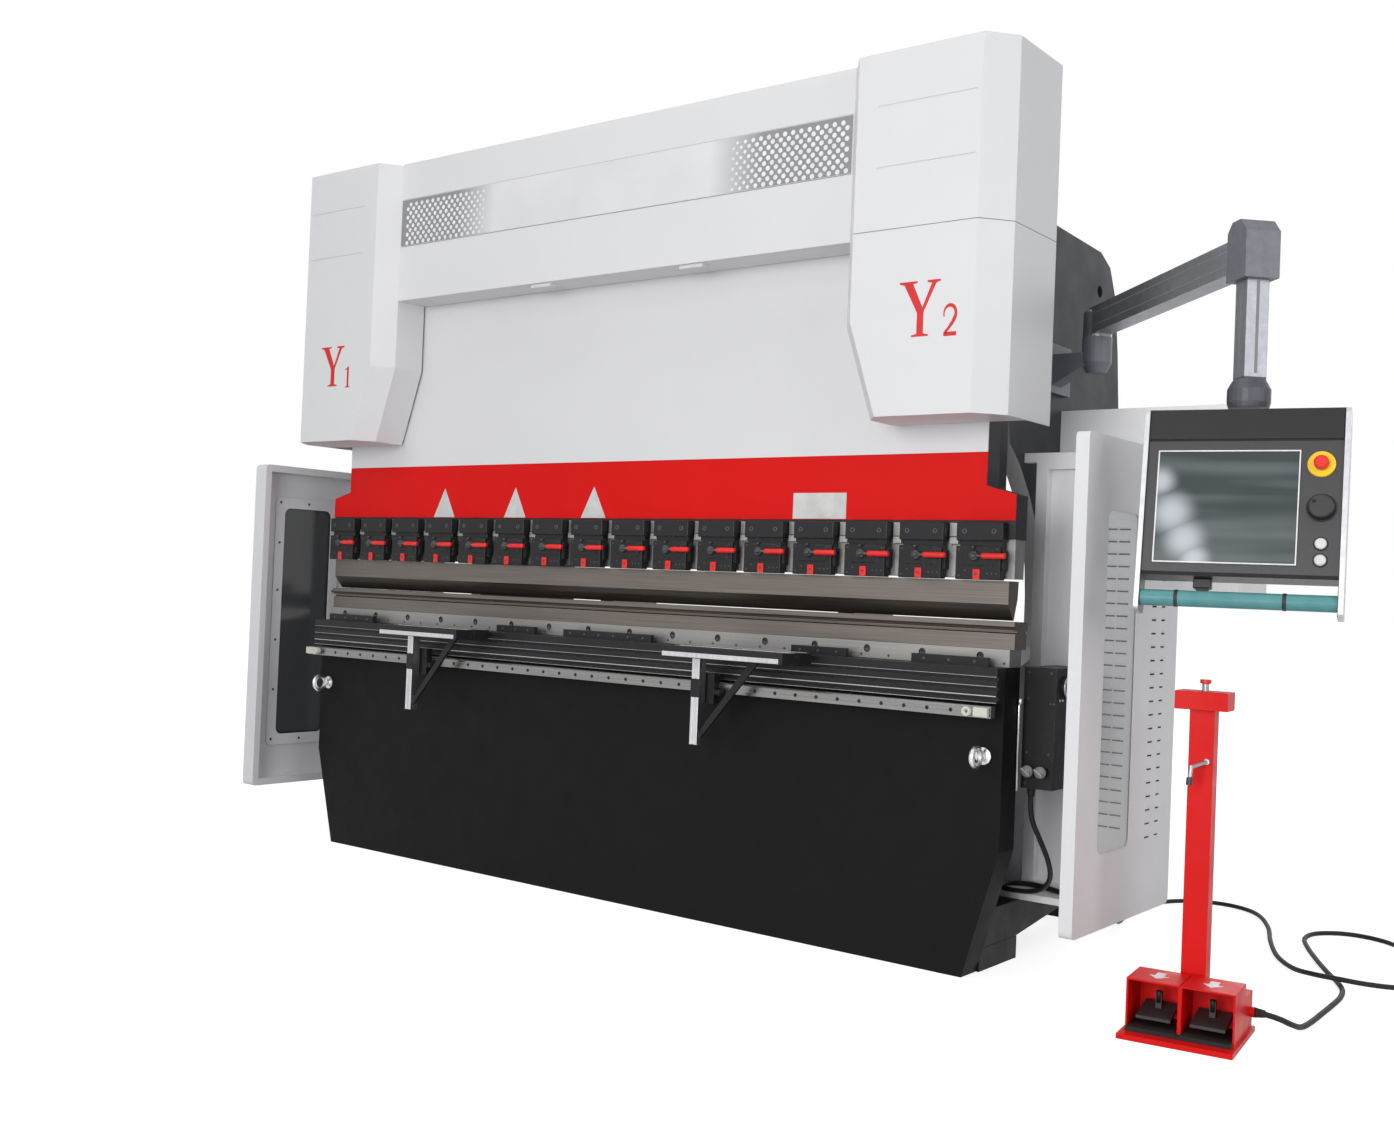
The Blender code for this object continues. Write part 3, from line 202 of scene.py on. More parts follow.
def noise(tree, scale, detail=2.0, stretch=None):
    place = add(tree, "ShaderNodeTexCoord").outputs["Object"]
    if stretch:
        mapping = add(tree, "ShaderNodeMapping")
        mapping.inputs["Scale"].default_value = stretch
        tree.links.new(place, mapping.inputs["Vector"])
        place = mapping.outputs["Vector"]
    tex = add(tree, "ShaderNodeTexNoise")
    tex.inputs["Scale"].default_value = scale
    tex.inputs["Detail"].default_value = detail
    tree.links.new(place, tex.inputs["Vector"])
    return tex.outputs["Fac"]


def blend_colour(tree, factor, first, second):
    item = add(tree, "ShaderNodeMix", data_type="RGBA")
    tree.links.new(factor, item.inputs[0])
    for socket, value in ((item.inputs[6], first), (item.inputs[7], second)):
        if isinstance(value, tuple):
            socket.default_value = (value[0], value[1], value[2], 1.0)
        else:
            tree.links.new(value, socket)
    return item.outputs[2]


def scaled(rgb, k):
    return tuple(min(1.0, c * k) for c in rgb)


def toned(tree, base, tone):
    """The colour multiplied by a grey tone."""
    item = add(tree, "ShaderNodeMix", data_type="RGBA", blend_type="MULTIPLY")
    item.inputs[0].default_value = 1.0
    tree.links.new(base, item.inputs[6])
    tree.links.new(tone, item.inputs[7])
    return item.outputs[2]


def soft_normal(tree, radius):
    item = add(tree, "ShaderNodeBevel", samples=4)
    item.inputs["Radius"].default_value = radius
    return item.outputs[0]


def relief(tree, shader, height, soft, strength, distance):
    """Fine bump laid over the rounded edges."""
    bump = add(tree, "ShaderNodeBump")
    bump.inputs["Strength"].default_value = strength
    bump.inputs["Distance"].default_value = distance
    tree.links.new(height, bump.inputs["Height"])
    tree.links.new(soft, bump.inputs["Normal"])
    tree.links.new(bump.outputs[0], shader.inputs["Normal"])


def finish_with(tree, shader, base, rough, **values):
    """Colour and roughness from sockets, other inputs as constants."""
    tree.links.new(base, shader.inputs["Base Color"])
    tree.links.new(rough, shader.inputs["Roughness"])
    for key, value in values.items():
        shader.inputs[key.replace("_", " ")].default_value = value


def edge_mask(tree, radius, high):
    """High along the outer edges, 0 on the flats, broken up by noise."""
    soft = soft_normal(tree, radius)
    facing = vectors(tree, "DOT_PRODUCT", soft, add(tree, "ShaderNodeNewGeometry").outputs["Normal"],
                     output="Value")
    mask = spread(tree, facing, 1.0, 0.0, 0.8, 0.985)
    broken = spread(tree, noise(tree, 60.0, 5.0), 0.0, high, 0.4, 0.62)
    return maths(tree, "MULTIPLY", mask, broken, use_clamp=True), soft


def painted(name, rgb, rough, specular=0.5, peel=0.12, mottle=0.03, wear=None, wear_amount=0.5, edge=0.0025):
    """Powder coat or lacquer: slight cloudiness, orange peel, uneven gloss and lighter edges."""
    tree, shader = start_material(name)
    cloud = spread(tree, noise(tree, 1.7, 5.0), 0.0, 1.0)
    base = blend_colour(tree, cloud, scaled(rgb, 1.0 - mottle), scaled(rgb, 1.0 + mottle))
    mask, soft = edge_mask(tree, edge, wear_amount)
    base = blend_colour(tree, mask, base, wear or scaled(rgb, 1.35))
    gloss = spread(tree, noise(tree, 11.0, 6.0), rough - 0.05, rough + 0.07)
    finish_with(tree, shader, base, gloss, Specular_IOR_Level=specular)
    relief(tree, shader, noise(tree, 420.0), soft, peel, 0.0004)


def brushed(name, rgb, rough, stretch=(1.2, 160.0, 160.0), contrast=0.22, metal=1.0, stain=0.12):
    """Ground or drawn metal: fine lines along its length, with faint stains and bright edges."""
    tree, shader = start_material(name)
    lines = spread(tree, noise(tree, 2.0, 6.0, stretch), 0.0, 1.0, 0.25, 0.75)
    base = blend_colour(tree, lines, scaled(rgb, 1.0 - contrast), scaled(rgb, 1.0 + contrast))
    stains = spread(tree, noise(tree, 3.0, 6.0, (1.0, 2.0, 6.0)), 0.0, stain, 0.45, 0.75)
    base = blend_colour(tree, stains, base, scaled(rgb, 0.45))
    mask, soft = edge_mask(tree, 0.0012, 0.8)
    base = blend_colour(tree, mask, base, scaled(rgb, 1.6))
    finish_with(tree, shader, base, spread(tree, lines, rough - 0.06, rough + 0.1, 0.0, 1.0), Metallic=metal)
    relief(tree, shader, lines, soft, 0.15, 0.0003)


def two_finish(name, first, second, axis, centre, limit, both_sides=False):
    """First finish where the distance along axis from centre is under the limit, second beyond it."""
    tree, shader = start_material(name)
    offset = vectors(tree, "SUBTRACT", add(tree, "ShaderNodeTexCoord").outputs["Object"], centre)
    value = vectors(tree, "DOT_PRODUCT", offset, axis, output="Value")
    if both_sides:
        value = maths(tree, "ABSOLUTE", value)
    beyond = maths(tree, "GREATER_THAN", value, limit)
    levels = []
    for low, high in zip(first[1:], second[1:]):
        item = add(tree, "ShaderNodeMix")
        item.inputs[2].default_value = low
        item.inputs[3].default_value = high
        tree.links.new(beyond, item.inputs[0])
        levels.append(item.outputs[0])
    streak = spread(tree, noise(tree, 140.0, 3.0), -0.04, 0.06)
    base = toned(tree, blend_colour(tree, beyond, first[0], second[0]),
                 spread(tree, noise(tree, 45.0, 6.0), 0.9, 1.1))
    finish_with(tree, shader, base, maths(tree, "ADD", levels[0], streak))
    tree.links.new(levels[1], shader.inputs["Metallic"])
    tree.links.new(soft_normal(tree, 0.0015), shader.inputs["Normal"])


PALE_BEFORE_Y = 0.62
BLACK_BELOW_Z = 0.1846


def plate_finish(name):
    """Side plate: dark sides, pale edges along the throat, black below the tray."""
    tree, shader = start_material(name)
    normal = add(tree, "ShaderNodeSeparateXYZ")
    tree.links.new(add(tree, "ShaderNodeNewGeometry").outputs["True Normal"], normal.inputs[0])
    side = maths(tree, "GREATER_THAN", maths(tree, "ABSOLUTE", normal.outputs["X"]), 0.5)
    place = add(tree, "ShaderNodeSeparateXYZ")
    tree.links.new(add(tree, "ShaderNodeTexCoord").outputs["Object"], place.inputs[0])
    dark = maths(tree, "MAXIMUM", side, maths(tree, "GREATER_THAN", place.outputs["Y"], PALE_BEFORE_Y))
    low = maths(tree, "LESS_THAN", place.outputs["Z"], BLACK_BELOW_Z)
    cloud = spread(tree, noise(tree, 1.7, 5.0), 0.0, 1.0)
    grey = blend_colour(tree, cloud, (0.032, 0.033, 0.039), (0.04, 0.042, 0.049))
    base = blend_colour(tree, low, blend_colour(tree, dark, WHITE, grey), BLACK)
    gloss = spread(tree, noise(tree, 11.0, 6.0), 0.46, 0.58)
    finish_with(tree, shader, base, gloss, Specular_IOR_Level=0.18)
    tree.links.new(soft_normal(tree, 0.0025), shader.inputs["Normal"])


def moulded(name, rgb, rough, grain=260.0, depth=0.2, specular=0.4):
    """Moulded plastic or rubber with a fine grain and faint handling marks."""
    tree, shader = start_material(name)
    base = blend_colour(tree, spread(tree, noise(tree, 24.0, 6.0), 0.0, 1.0), scaled(rgb, 0.92),
                        scaled(rgb, 1.12))
    gloss = spread(tree, noise(tree, 9.0, 5.0), rough - 0.05, rough + 0.08)
    finish_with(tree, shader, base, gloss, Specular_IOR_Level=specular)
    relief(tree, shader, noise(tree, grain), soft_normal(tree, 0.0012), depth, 0.0003)


def smoky(name, rgb, alpha, rough):
    """Tinted sheet: see-through, with faint smears in its gloss."""
    tree, shader = start_material(name)
    smear = spread(tree, noise(tree, 3.0, 5.0, (1.0, 1.0, 0.3)), 0.0, 1.0)
    base = blend_colour(tree, smear, scaled(rgb, 0.85), scaled(rgb, 1.15))
    finish_with(tree, shader, base, spread(tree, smear, rough, rough + 0.05, 0.0, 1.0), Alpha=alpha)


WHITE = (0.72, 0.72, 0.735)
RED = (0.69, 0.006, 0.005)
BLACK = (0.006, 0.006, 0.0062)
STEEL = (0.16, 0.142, 0.128)
SILVER_PART = ((0.34, 0.35, 0.375), 0.38, 0.7)

plate_finish("coat_frame")
# The same white coat with a raised albedo: painted light that brightens the enclosures, cabinet and panel
# louvres, which get little lamp light.
painted("coat_white_brightened", (0.9, 0.9, 0.915), 0.45, peel=0.1, mottle=0.015, wear=(0.92, 0.92, 0.93),
        wear_amount=0.3)
painted("coat_white", WHITE, 0.42, peel=0.1, mottle=0.015, wear=(0.8, 0.8, 0.81), wear_amount=0.4)
painted("coat_red", RED, 0.42, peel=0.12, mottle=0.04, wear=(0.8, 0.05, 0.04), wear_amount=0.6, specular=0.14)
painted("coat_black", BLACK, 0.55, specular=0.1, mottle=0.12, wear=(0.05, 0.05, 0.052), wear_amount=0.35)
painted("coat_anthracite", (0.03, 0.03, 0.034), 0.5, specular=0.22, mottle=0.08, wear=(0.12, 0.12, 0.13))
painted("coat_gun", (0.012, 0.012, 0.0135), 0.42, specular=0.22, mottle=0.1, wear=(0.18, 0.18, 0.18),
        wear_amount=0.7)
painted("cast_grey", (0.15, 0.155, 0.178), 0.52, peel=0.45, mottle=0.08)
brushed("ground_steel", scaled(STEEL, 0.92), 0.36)
brushed("holder_steel", (0.27, 0.262, 0.252), 0.42, contrast=0.14, metal=0.85)
brushed("drawn_bright", (0.23, 0.225, 0.22), 0.26, contrast=0.15)
brushed("chrome_rod", (0.72, 0.72, 0.73), 0.12, stretch=(160.0, 160.0, 1.5), contrast=0.06, stain=0.02)
brushed("adapter_steel", (0.3, 0.295, 0.29), 0.44, stretch=(60.0, 60.0, 3.0), contrast=0.18, metal=0.8)
brushed("eye_steel", (0.62, 0.62, 0.62), 0.3, stretch=(30.0, 30.0, 30.0), contrast=0.12)
# Silver of the support posts, also used for the thin strips that are painted highlights on the support tops.
brushed("arm_silver", (0.52, 0.52, 0.53), 0.3, stretch=(40.0, 40.0, 1.2), contrast=0.12)
# Bright metal of the slot lip strips: painted highlights.
brushed("strip_silver", (0.42, 0.42, 0.42), 0.3, stretch=(1.2, 60.0, 60.0), contrast=0.12)
painted("cast_bright", (0.3, 0.29, 0.28), 0.42, specular=0.5, mottle=0.1, wear=(0.55, 0.55, 0.55))
brushed("brass", (0.7, 0.46, 0.14), 0.3, stretch=(30.0, 30.0, 30.0), contrast=0.1)
moulded("plastic_black", (0.016, 0.016, 0.017), 0.45)
moulded("rubber_black", (0.014, 0.014, 0.014), 0.6, depth=0.4, specular=0.25)
moulded("pedal_grey", (0.028, 0.028, 0.03), 0.5, depth=0.5)
moulded("plastic_red", (0.76, 0.02, 0.016), 0.34)
moulded("plastic_yellow", (0.86, 0.56, 0.01), 0.35)
moulded("plastic_pale", (0.64, 0.645, 0.64), 0.4)
moulded("plastic_cream", (0.62, 0.62, 0.54), 0.45)
moulded("grip_teal", (0.085, 0.265, 0.27), 0.5, grain=500.0)
moulded("label_blank", (0.6, 0.6, 0.59), 0.38, grain=90.0, depth=0.05)
moulded("print_white", (0.8, 0.8, 0.8), 0.45, depth=0.05)
moulded("print_red", (0.64, 0.012, 0.014), 0.42, depth=0.05)
moulded("slot_shadow", (0.03, 0.03, 0.033), 0.8, specular=0.1)
smoky("pane_smoked", (0.035, 0.037, 0.04), 0.9, 0.06)
smoky("pane_clear", (0.42, 0.44, 0.45), 0.26, 0.06)

# ---------------- mesh helpers


ALONG_X = (1.0, 0.0, 0.0)
ALONG_Y = (0.0, 1.0, 0.0)
FORWARD = (0.0, -1.0, 0.0)
UPWARD = (0.0, 0.0, 1.0)
DOWNWARD = (0.0, 0.0, -1.0)


def box_into(bm, x0, x1, y0, y1, z0, z1, matrix=None):
    points = [Vector((x, y, z)) for x in (x0, x1) for y in (y0, y1) for z in (z0, z1)]
    if matrix is not None:
        points = [matrix @ p for p in points]
    verts = [bm.verts.new(p) for p in points]
    for quad in ((0, 1, 3, 2), (4, 6, 7, 5), (0, 4, 5, 1), (2, 3, 7, 6), (0, 2, 6, 4), (1, 5, 7, 3)):
        bm.faces.new([verts[i] for i in quad])


def soft_box_into(bm, x0, x1, y0, y1, z0, z1, width, matrix=None):
    """A box with its edges rounded by width."""
    part = bmesh.new()
    box_into(part, x0, x1, y0, y1, z0, z1)
    bmesh.ops.recalc_face_normals(part, faces=part.faces)
    bmesh.ops.bevel(part, geom=list(part.edges), offset=width, segments=2, affect="EDGES", profile=0.5)
    merge(bm, part, matrix)


def soft_boxes_into(bm, rows, matrix=None):
    """Rounded boxes from rows of x0, x1, y0, y1, z0, z1, width."""
    for row in rows:
        soft_box_into(bm, *row, matrix)


def merge(bm, part, matrix=None):
    if matrix is not None:
        bmesh.ops.transform(part, matrix=matrix, verts=part.verts)
    helper = bpy.data.meshes.new("helper")
    part.to_mesh(helper)
    part.free()
    bm.from_mesh(helper)
    bpy.data.meshes.remove(helper)


def lathe_into(bm, profile, centre, axis, count=24, closed=True):
    """Turned form; the profile holds (radius, height) pairs along the axis."""
    turn = Vector(axis).to_track_quat("Z", "Y").to_matrix()
    base = Vector(centre)
    rings = []
    for radius, height in profile:
        ring = []
        for i in range(count):
            angle = 2 * math.pi * i / count
            ring.append(bm.verts.new(base + turn @ Vector((radius * math.cos(angle), radius * math.sin(angle),
                                                           height))))
        rings.append(ring)
    pairs = list(zip(rings, rings[1:]))
    if not closed:
        pairs.append((rings[-1], rings[0]))
    for low, high in pairs:
        for i in range(count):
            j = (i + 1) % count
            bm.faces.new((low[i], low[j], high[j], high[i])).smooth = True
    if closed:
        bm.faces.new(rings[0])
        bm.faces.new(rings[-1])


def outline_into(bm, outline, place, thickness):
    """Flat closed outline turned into a thin plate; place maps (a, b, depth) to a point."""
    low = [bm.verts.new(place(a, b, 0.0)) for a, b in outline]
    high = [bm.verts.new(place(a, b, thickness)) for a, b in outline]
    bm.faces.new(low)
    bm.faces.new(high)
    count = len(outline)
    for i in range(count):
        j = (i + 1) % count
        bm.faces.new((low[i], low[j], high[j], high[i]))


def finish_piece(name, bm, body, materials, replaced=(), triangulate=False):
    bmesh.ops.recalc_face_normals(bm, faces=bm.faces)
    if triangulate:
        bmesh.ops.triangulate(bm, faces=[f for f in bm.faces if len(f.verts) > 4])
    mesh = bpy.data.meshes.new(name)
    bm.to_mesh(mesh)
    bm.free()
    obj = bpy.data.objects.new(name, mesh)
    scene.collection.objects.link(obj)
    for material in ([materials] if isinstance(materials, str) else materials):
        mesh.materials.append(finishes[material])
    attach(obj, body)
    if replaced:
        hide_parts(*replaced)
    return obj


def turned_piece(name, body, material, profile, spots, axis, count, closed=True):
    """One piece made of the same turned form at each spot."""
    bm = bmesh.new()
    for spot in spots:
        lathe_into(bm, profile, spot, axis, count, closed)
    return finish_piece(name, bm, body, material)


def boxed_piece(name, body, material, rows, matrix=None):
    """One piece made of rounded boxes."""
    bm = bmesh.new()
    soft_boxes_into(bm, rows, matrix)
    return finish_piece(name, bm, body, material)


def dress(name, material):
    mesh = nodes[name].data
    mesh.materials.clear()
    mesh.materials.append(finishes[material])


# ---------------- finishes on the CAD nodes

for material, names in {
    "coat_white": "cover_left cover_right beam_cover ram_white_skin door_left door_right",
    "coat_white_brightened": "enclosure_left enclosure_right cabinet_body cabinet_door",
    "coat_red": "ram_red_skin stand_base stand_column",
    "coat_black": "front_bed",
    "coat_gun": "slot_table drive_box carriage_left carriage_right ram_guide_left ram_guide_right",
    "coat_frame": "frame_left frame_right",
    "coat_anthracite": "oil_tank cylinder_left cylinder_right ram_plate gauge_beam",
    "cast_grey": "arm_bracket",
    "ground_steel": "punch die gauge_finger_left gauge_finger_right",
    "holder_steel": "die_holder",
    "adapter_steel": "clamp_beam",
    "drawn_bright": "guide_rail",
    "chrome_rod": "rod_left rod_right",
    "eye_steel": "eye_left eye_right",
    "plastic_black": "speed_knob",
    "rubber_black": "pedal_mat",
    "pedal_grey": "pedal_left pedal_right",
    "plastic_yellow": "estop_base",
    "plastic_red": "estop_head",
    "plastic_pale": "button_upper button_lower",
    "pane_smoked": "pane_left",
    "pane_clear": "pane_right",
    "grip_teal": "pendant_grip",
}.items():
    for name in names.split():
        dress(name, material)

# ---------------- pedal cord

CORD_D = 0.016
TRAY_LOW_Z = 0.185
TRAY_T = 0.022
FLOOR_Z = CORD_D / 2 + 0.0015
TRAY_Z = TRAY_LOW_Z + TRAY_T + CORD_D / 2 + 0.0005
HOLE_X = 1.72
STAND_LOW_X = 2.055
STAND_HIGH_X = 2.351
STAND_LOW_Y = -0.313
STAND_HIGH_Y = 0.0
STAND_MIDDLE = Vector(((STAND_LOW_X + STAND_HIGH_X) / 2, (STAND_LOW_Y + STAND_HIGH_Y) / 2, 0.0))
STAND_TURN = (Matrix.Translation(STAND_MIDDLE) @ Matrix.Rotation(math.radians(7.0), 4, "Z")
              @ Matrix.Translation(-STAND_MIDDLE))
CORD_AXIS = STAND_TURN.to_3x3() @ Vector(ALONG_X)
CORD_EXIT = STAND_TURN @ Vector((STAND_HIGH_X + 0.0063, -0.045, 0.062))
CORD_ROUTE = [
    tuple(CORD_EXIT + CORD_AXIS * 0.022),
    (2.4, -0.007, 0.0525), (2.424, 0.038, 0.031), (2.429, 0.107, 0.013),
    (2.431, 0.2, FLOOR_Z), (2.43, 0.3, FLOOR_Z), (2.428, 0.42, FLOOR_Z),
    (2.423, 0.53, FLOOR_Z), (2.405, 0.625, FLOOR_Z), (2.368, 0.715, FLOOR_Z),
    (2.31, 0.825, FLOOR_Z), (2.24, 0.97, FLOOR_Z), (2.165, 1.14, FLOOR_Z), (2.122, 1.27, FLOOR_Z),
    (2.13, 1.38, FLOOR_Z), (2.2, 1.455, FLOOR_Z), (2.295, 1.46, FLOOR_Z), (2.39, 1.4, FLOOR_Z),
    (2.5, 1.24, FLOOR_Z), (2.58, 1.06, FLOOR_Z), (2.588, 0.92, FLOOR_Z), (2.535, 0.79, 0.011),
    (2.46, 0.705, 0.022), (2.38, 0.672, 0.0295), (2.3, 0.69, 0.0265), (2.22, 0.77, 0.015),
    (2.13, 0.92, FLOOR_Z), (2.05, 1.12, FLOOR_Z), (1.97, 1.36, FLOOR_Z), (1.875, 1.55, FLOOR_Z),
    (1.77, 1.63, FLOOR_Z), (1.66, 1.625, FLOOR_Z), (1.57, 1.55, FLOOR_Z), (1.52, 1.42, FLOOR_Z),
    (1.516, 1.27, FLOOR_Z), (1.535, 1.12, FLOOR_Z + 0.001), (1.57, 0.97, 0.02),
    (1.615, 0.83, 0.055), (1.66, 0.69, 0.115), (1.695, 0.59, 0.168), (1.715, 0.525, 0.202),
    (HOLE_X, 0.47, TRAY_Z + 0.006), (HOLE_X - 0.004, 0.417, TRAY_Z + 0.004),
    (1.6925, 0.376, TRAY_Z + 0.002), (1.658, 0.356, TRAY_Z + 0.001), (1.62, 0.357, TRAY_Z),
    (1.575, 0.378, TRAY_Z), (1.53, 0.4, TRAY_Z),
    (1.485, 0.405, TRAY_Z), (1.4515, 0.396, TRAY_Z), (1.427, 0.3715, TRAY_Z),
    (1.418, 0.338, TRAY_Z), (1.427, 0.3045, TRAY_Z), (1.4515, 0.28, TRAY_Z),
    (1.487, 0.2705, TRAY_Z + 0.0005), (1.548, 0.27, 0.2205), (1.602, 0.245, 0.244),
    (1.642, 0.201, 0.288), (1.655, 0.151, 0.348), (1.643, 0.113, 0.415),
    (1.622, 0.097, 0.475), (1.616, 0.095, 0.53), (1.616, 0.095, 0.551),
]
CORD_END = (1.616, 0.095, 0.5755)
CORD_STEP = 0.025
ROUTE_STEPS = 40


def smooth_route(points, spacing):
    """Even points on a Catmull-Rom curve through the route points."""
    dense = []
    ends = [points[0] * 2 - points[1]] + points + [points[-1] * 2 - points[-2]]
    for i in range(1, len(ends) - 2):
        p0, p1, p2, p3 = ends[i - 1:i + 3]
        for step in range(ROUTE_STEPS):
            t = step / ROUTE_STEPS
            dense.append(0.5 * ((2 * p1) + (p2 - p0) * t + (2 * p0 - 5 * p1 + 4 * p2 - p3) * t * t
                                + (3 * p1 - p0 - 3 * p2 + p3) * t * t * t))
    dense.append(points[-1])
    result = [dense[0]]
    travelled = 0.0
    for a, b in zip(dense, dense[1:]):
        travelled += (b - a).length
        if travelled >= spacing:
            result.append(b)
            travelled = 0.0
    if (result[-1] - dense[-1]).length < spacing * 0.5:
        result.pop()
    result.append(dense[-1])
    return result


def make_cord():
    points = [Vector(CORD_EXIT)]
    points += smooth_route([Vector(p) for p in CORD_ROUTE], CORD_STEP)
    points.append(Vector(CORD_END))
    curve = bpy.data.curves.new("foot_cord", "CURVE")
    curve.dimensions = "3D"
    curve.bevel_depth = CORD_D / 2
    curve.bevel_resolution = 4
    curve.use_fill_caps = True
    line = curve.splines.new("POLY")
    line.points.add(len(points) - 1)
    for target, p in zip(line.points, points):
        target.co = (p.x, p.y, p.z, 1.0)
    line.use_smooth = True
    cord = bpy.data.objects.new("foot_cord", curve)
    scene.collection.objects.link(cord)
    curve.materials.append(finishes["rubber_black"])
    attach(cord, "machine")
    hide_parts("pedal_cord")

    for name, start, axis, reach in (("cord_relief_stand", CORD_EXIT, CORD_AXIS, 0.026),
                                     ("cord_relief_drive", CORD_END, DOWNWARD, 0.03)):
        inner = CORD_D / 2 + 0.0002
        profile = [(inner, 0.0), (0.0135, 0.0), (0.013, 0.006), (0.0118, 0.008), (0.0118, 0.011),
                   (0.0125, 0.012), (0.011, 0.016), (0.0112, 0.018), (0.0096, reach), (inner, reach)]
        turned_piece(name, "machine", "rubber_black", profile, (start,), axis, 20,
                                    False)


make_cord()

# ---------------- quick clamps

CLAMP_COUNT = 16
CLAMP_PITCH = 0.2
CLAMP_FACE = -0.086
LEVER_Z = 1.277
STEP_END_X = 1.59
clamp_low, clamp_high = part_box("clamp_bank")


def clamp_places():
    return [(i - (CLAMP_COUNT - 1) / 2) * CLAMP_PITCH for i in range(CLAMP_COUNT)]


def make_clamps():
    bodies = bmesh.new()
    fittings = bmesh.new()
    red = bmesh.new()
    low = clamp_low.z
    back = clamp_high.y
    face = CLAMP_FACE
    for x in clamp_places():
        soft_boxes_into(bodies, (
            (x - 0.078, x + 0.078, face, back, 1.323, clamp_high.z, 0.0035),
            (x - 0.07, x + 0.072, face + 0.012, back, 1.306, 1.324, 0.001),
            (x - 0.078, x + 0.072, face + 0.001, back, low, 1.307, 0.003),
            (x - 0.05, x + 0.052, face - 0.003, face + 0.004, 1.248, 1.301, 0.002),
            (x + 0.0715, x + 0.079, face + 0.014, back, low + 0.03, 1.295, 0.001)))
        for dx in (-0.05, 0.048):
            lathe_into(fittings, [(0.0085, 0.004), (0.0085, -0.0006), (0.007, -0.001), (0.0042, -0.001),
                                  (0.0042, 0.002)], (x + dx, face, 1.352), ALONG_Y, 16)
        for dx, dz in ((-0.066, 1.296), (0.06, 1.296), (-0.066, 1.216), (0.03, 1.224), (0.045, 1.224),
                       (0.06, 1.224), (-0.045, 1.232)):
            lathe_into(fittings, [(0.003, 0.003), (0.003, -0.0005), (0.0022, -0.0009)],
                       (x + dx, face + 0.001, dz), ALONG_Y, 10)
        pivot = x - 0.012
        lathe_into(fittings, [(0.0175, 0.004), (0.0175, -0.004), (0.015, -0.006), (0.015, -0.012),
                              (0.013, -0.014), (0.0065, -0.014), (0.0065, -0.018), (0.005, -0.019)],
                   (pivot, face, LEVER_Z), ALONG_Y, 20)
        lathe_into(fittings, [(0.005, 0.0), (0.005, 0.03)], (pivot, face - 0.013, LEVER_Z), ALONG_X, 12)
        lathe_into(fittings, [(0.006, 0.0), (0.006, 0.006)], (pivot - 0.004, face - 0.006, 1.3), UPWARD, 10)
        lathe_into(red, [(0.006, 0.0), (0.0086, 0.002), (0.0092, 0.01), (0.0092, 0.072), (0.008, 0.077),
                         (0.005, 0.079)], (pivot + 0.028, face - 0.013, LEVER_Z), ALONG_X, 16)
        soft_box_into(red, x - 0.0165, x + 0.0065, face - 0.004, face + 0.003, low + 0.0006, 1.237, 0.0015)
        lathe_into(fittings, [(0.0042, 0.002), (0.0042, -0.0006), (0.0032, -0.001)],
                   (x - 0.005, face - 0.004, 1.222), ALONG_Y, 12)
    finish_piece("clamp_bodies", bodies, "ram", "coat_gun", ("clamp_bank",))
    finish_piece("clamp_fittings", fittings, "ram", "clamp_hardware")
    finish_piece("clamp_handles", red, "ram", "plastic_red")

    steps = bmesh.new()
    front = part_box("clamp_beam")[0].y
    near = front - 0.0003
    for x in clamp_places():
        gap = x + CLAMP_PITCH / 2
        if gap > STEP_END_X:
            continue
        soft_boxes_into(steps, (
            (gap - 0.019, gap + 0.019, front - 0.012, near, 1.336, 1.379, 0.001),
            (gap - 0.015, gap + 0.015, front - 0.019, near, 1.313, 1.334, 0.001),
            (gap - 0.013, gap + 0.013, front - 0.008, near, 1.212, 1.29, 0.001)))
    finish_piece("adapter_steps", steps, "ram", "adapter_steel")


painted("clamp_hardware", (0.03, 0.03, 0.032), 0.32, specular=0.6, wear=(0.35, 0.35, 0.35), wear_amount=0.9,
        edge=0.001)
make_clamps()

# ---------------- bed, table and rail details

holder_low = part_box("die_holder")[0]
table_low, table_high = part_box("slot_table")
rail_low, rail_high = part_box("guide_rail")
SET_SCREWS = 32
SET_SCREW_PITCH = 0.1
RAIL_HOLE_PITCH = 0.08
KEEPERS = ((-1.54, -1.26), (-0.53, -0.33), (-0.18, 0.24), (0.84, 1.05), (1.29, 1.55))
KEEPER_SCREW_PITCH = 0.075


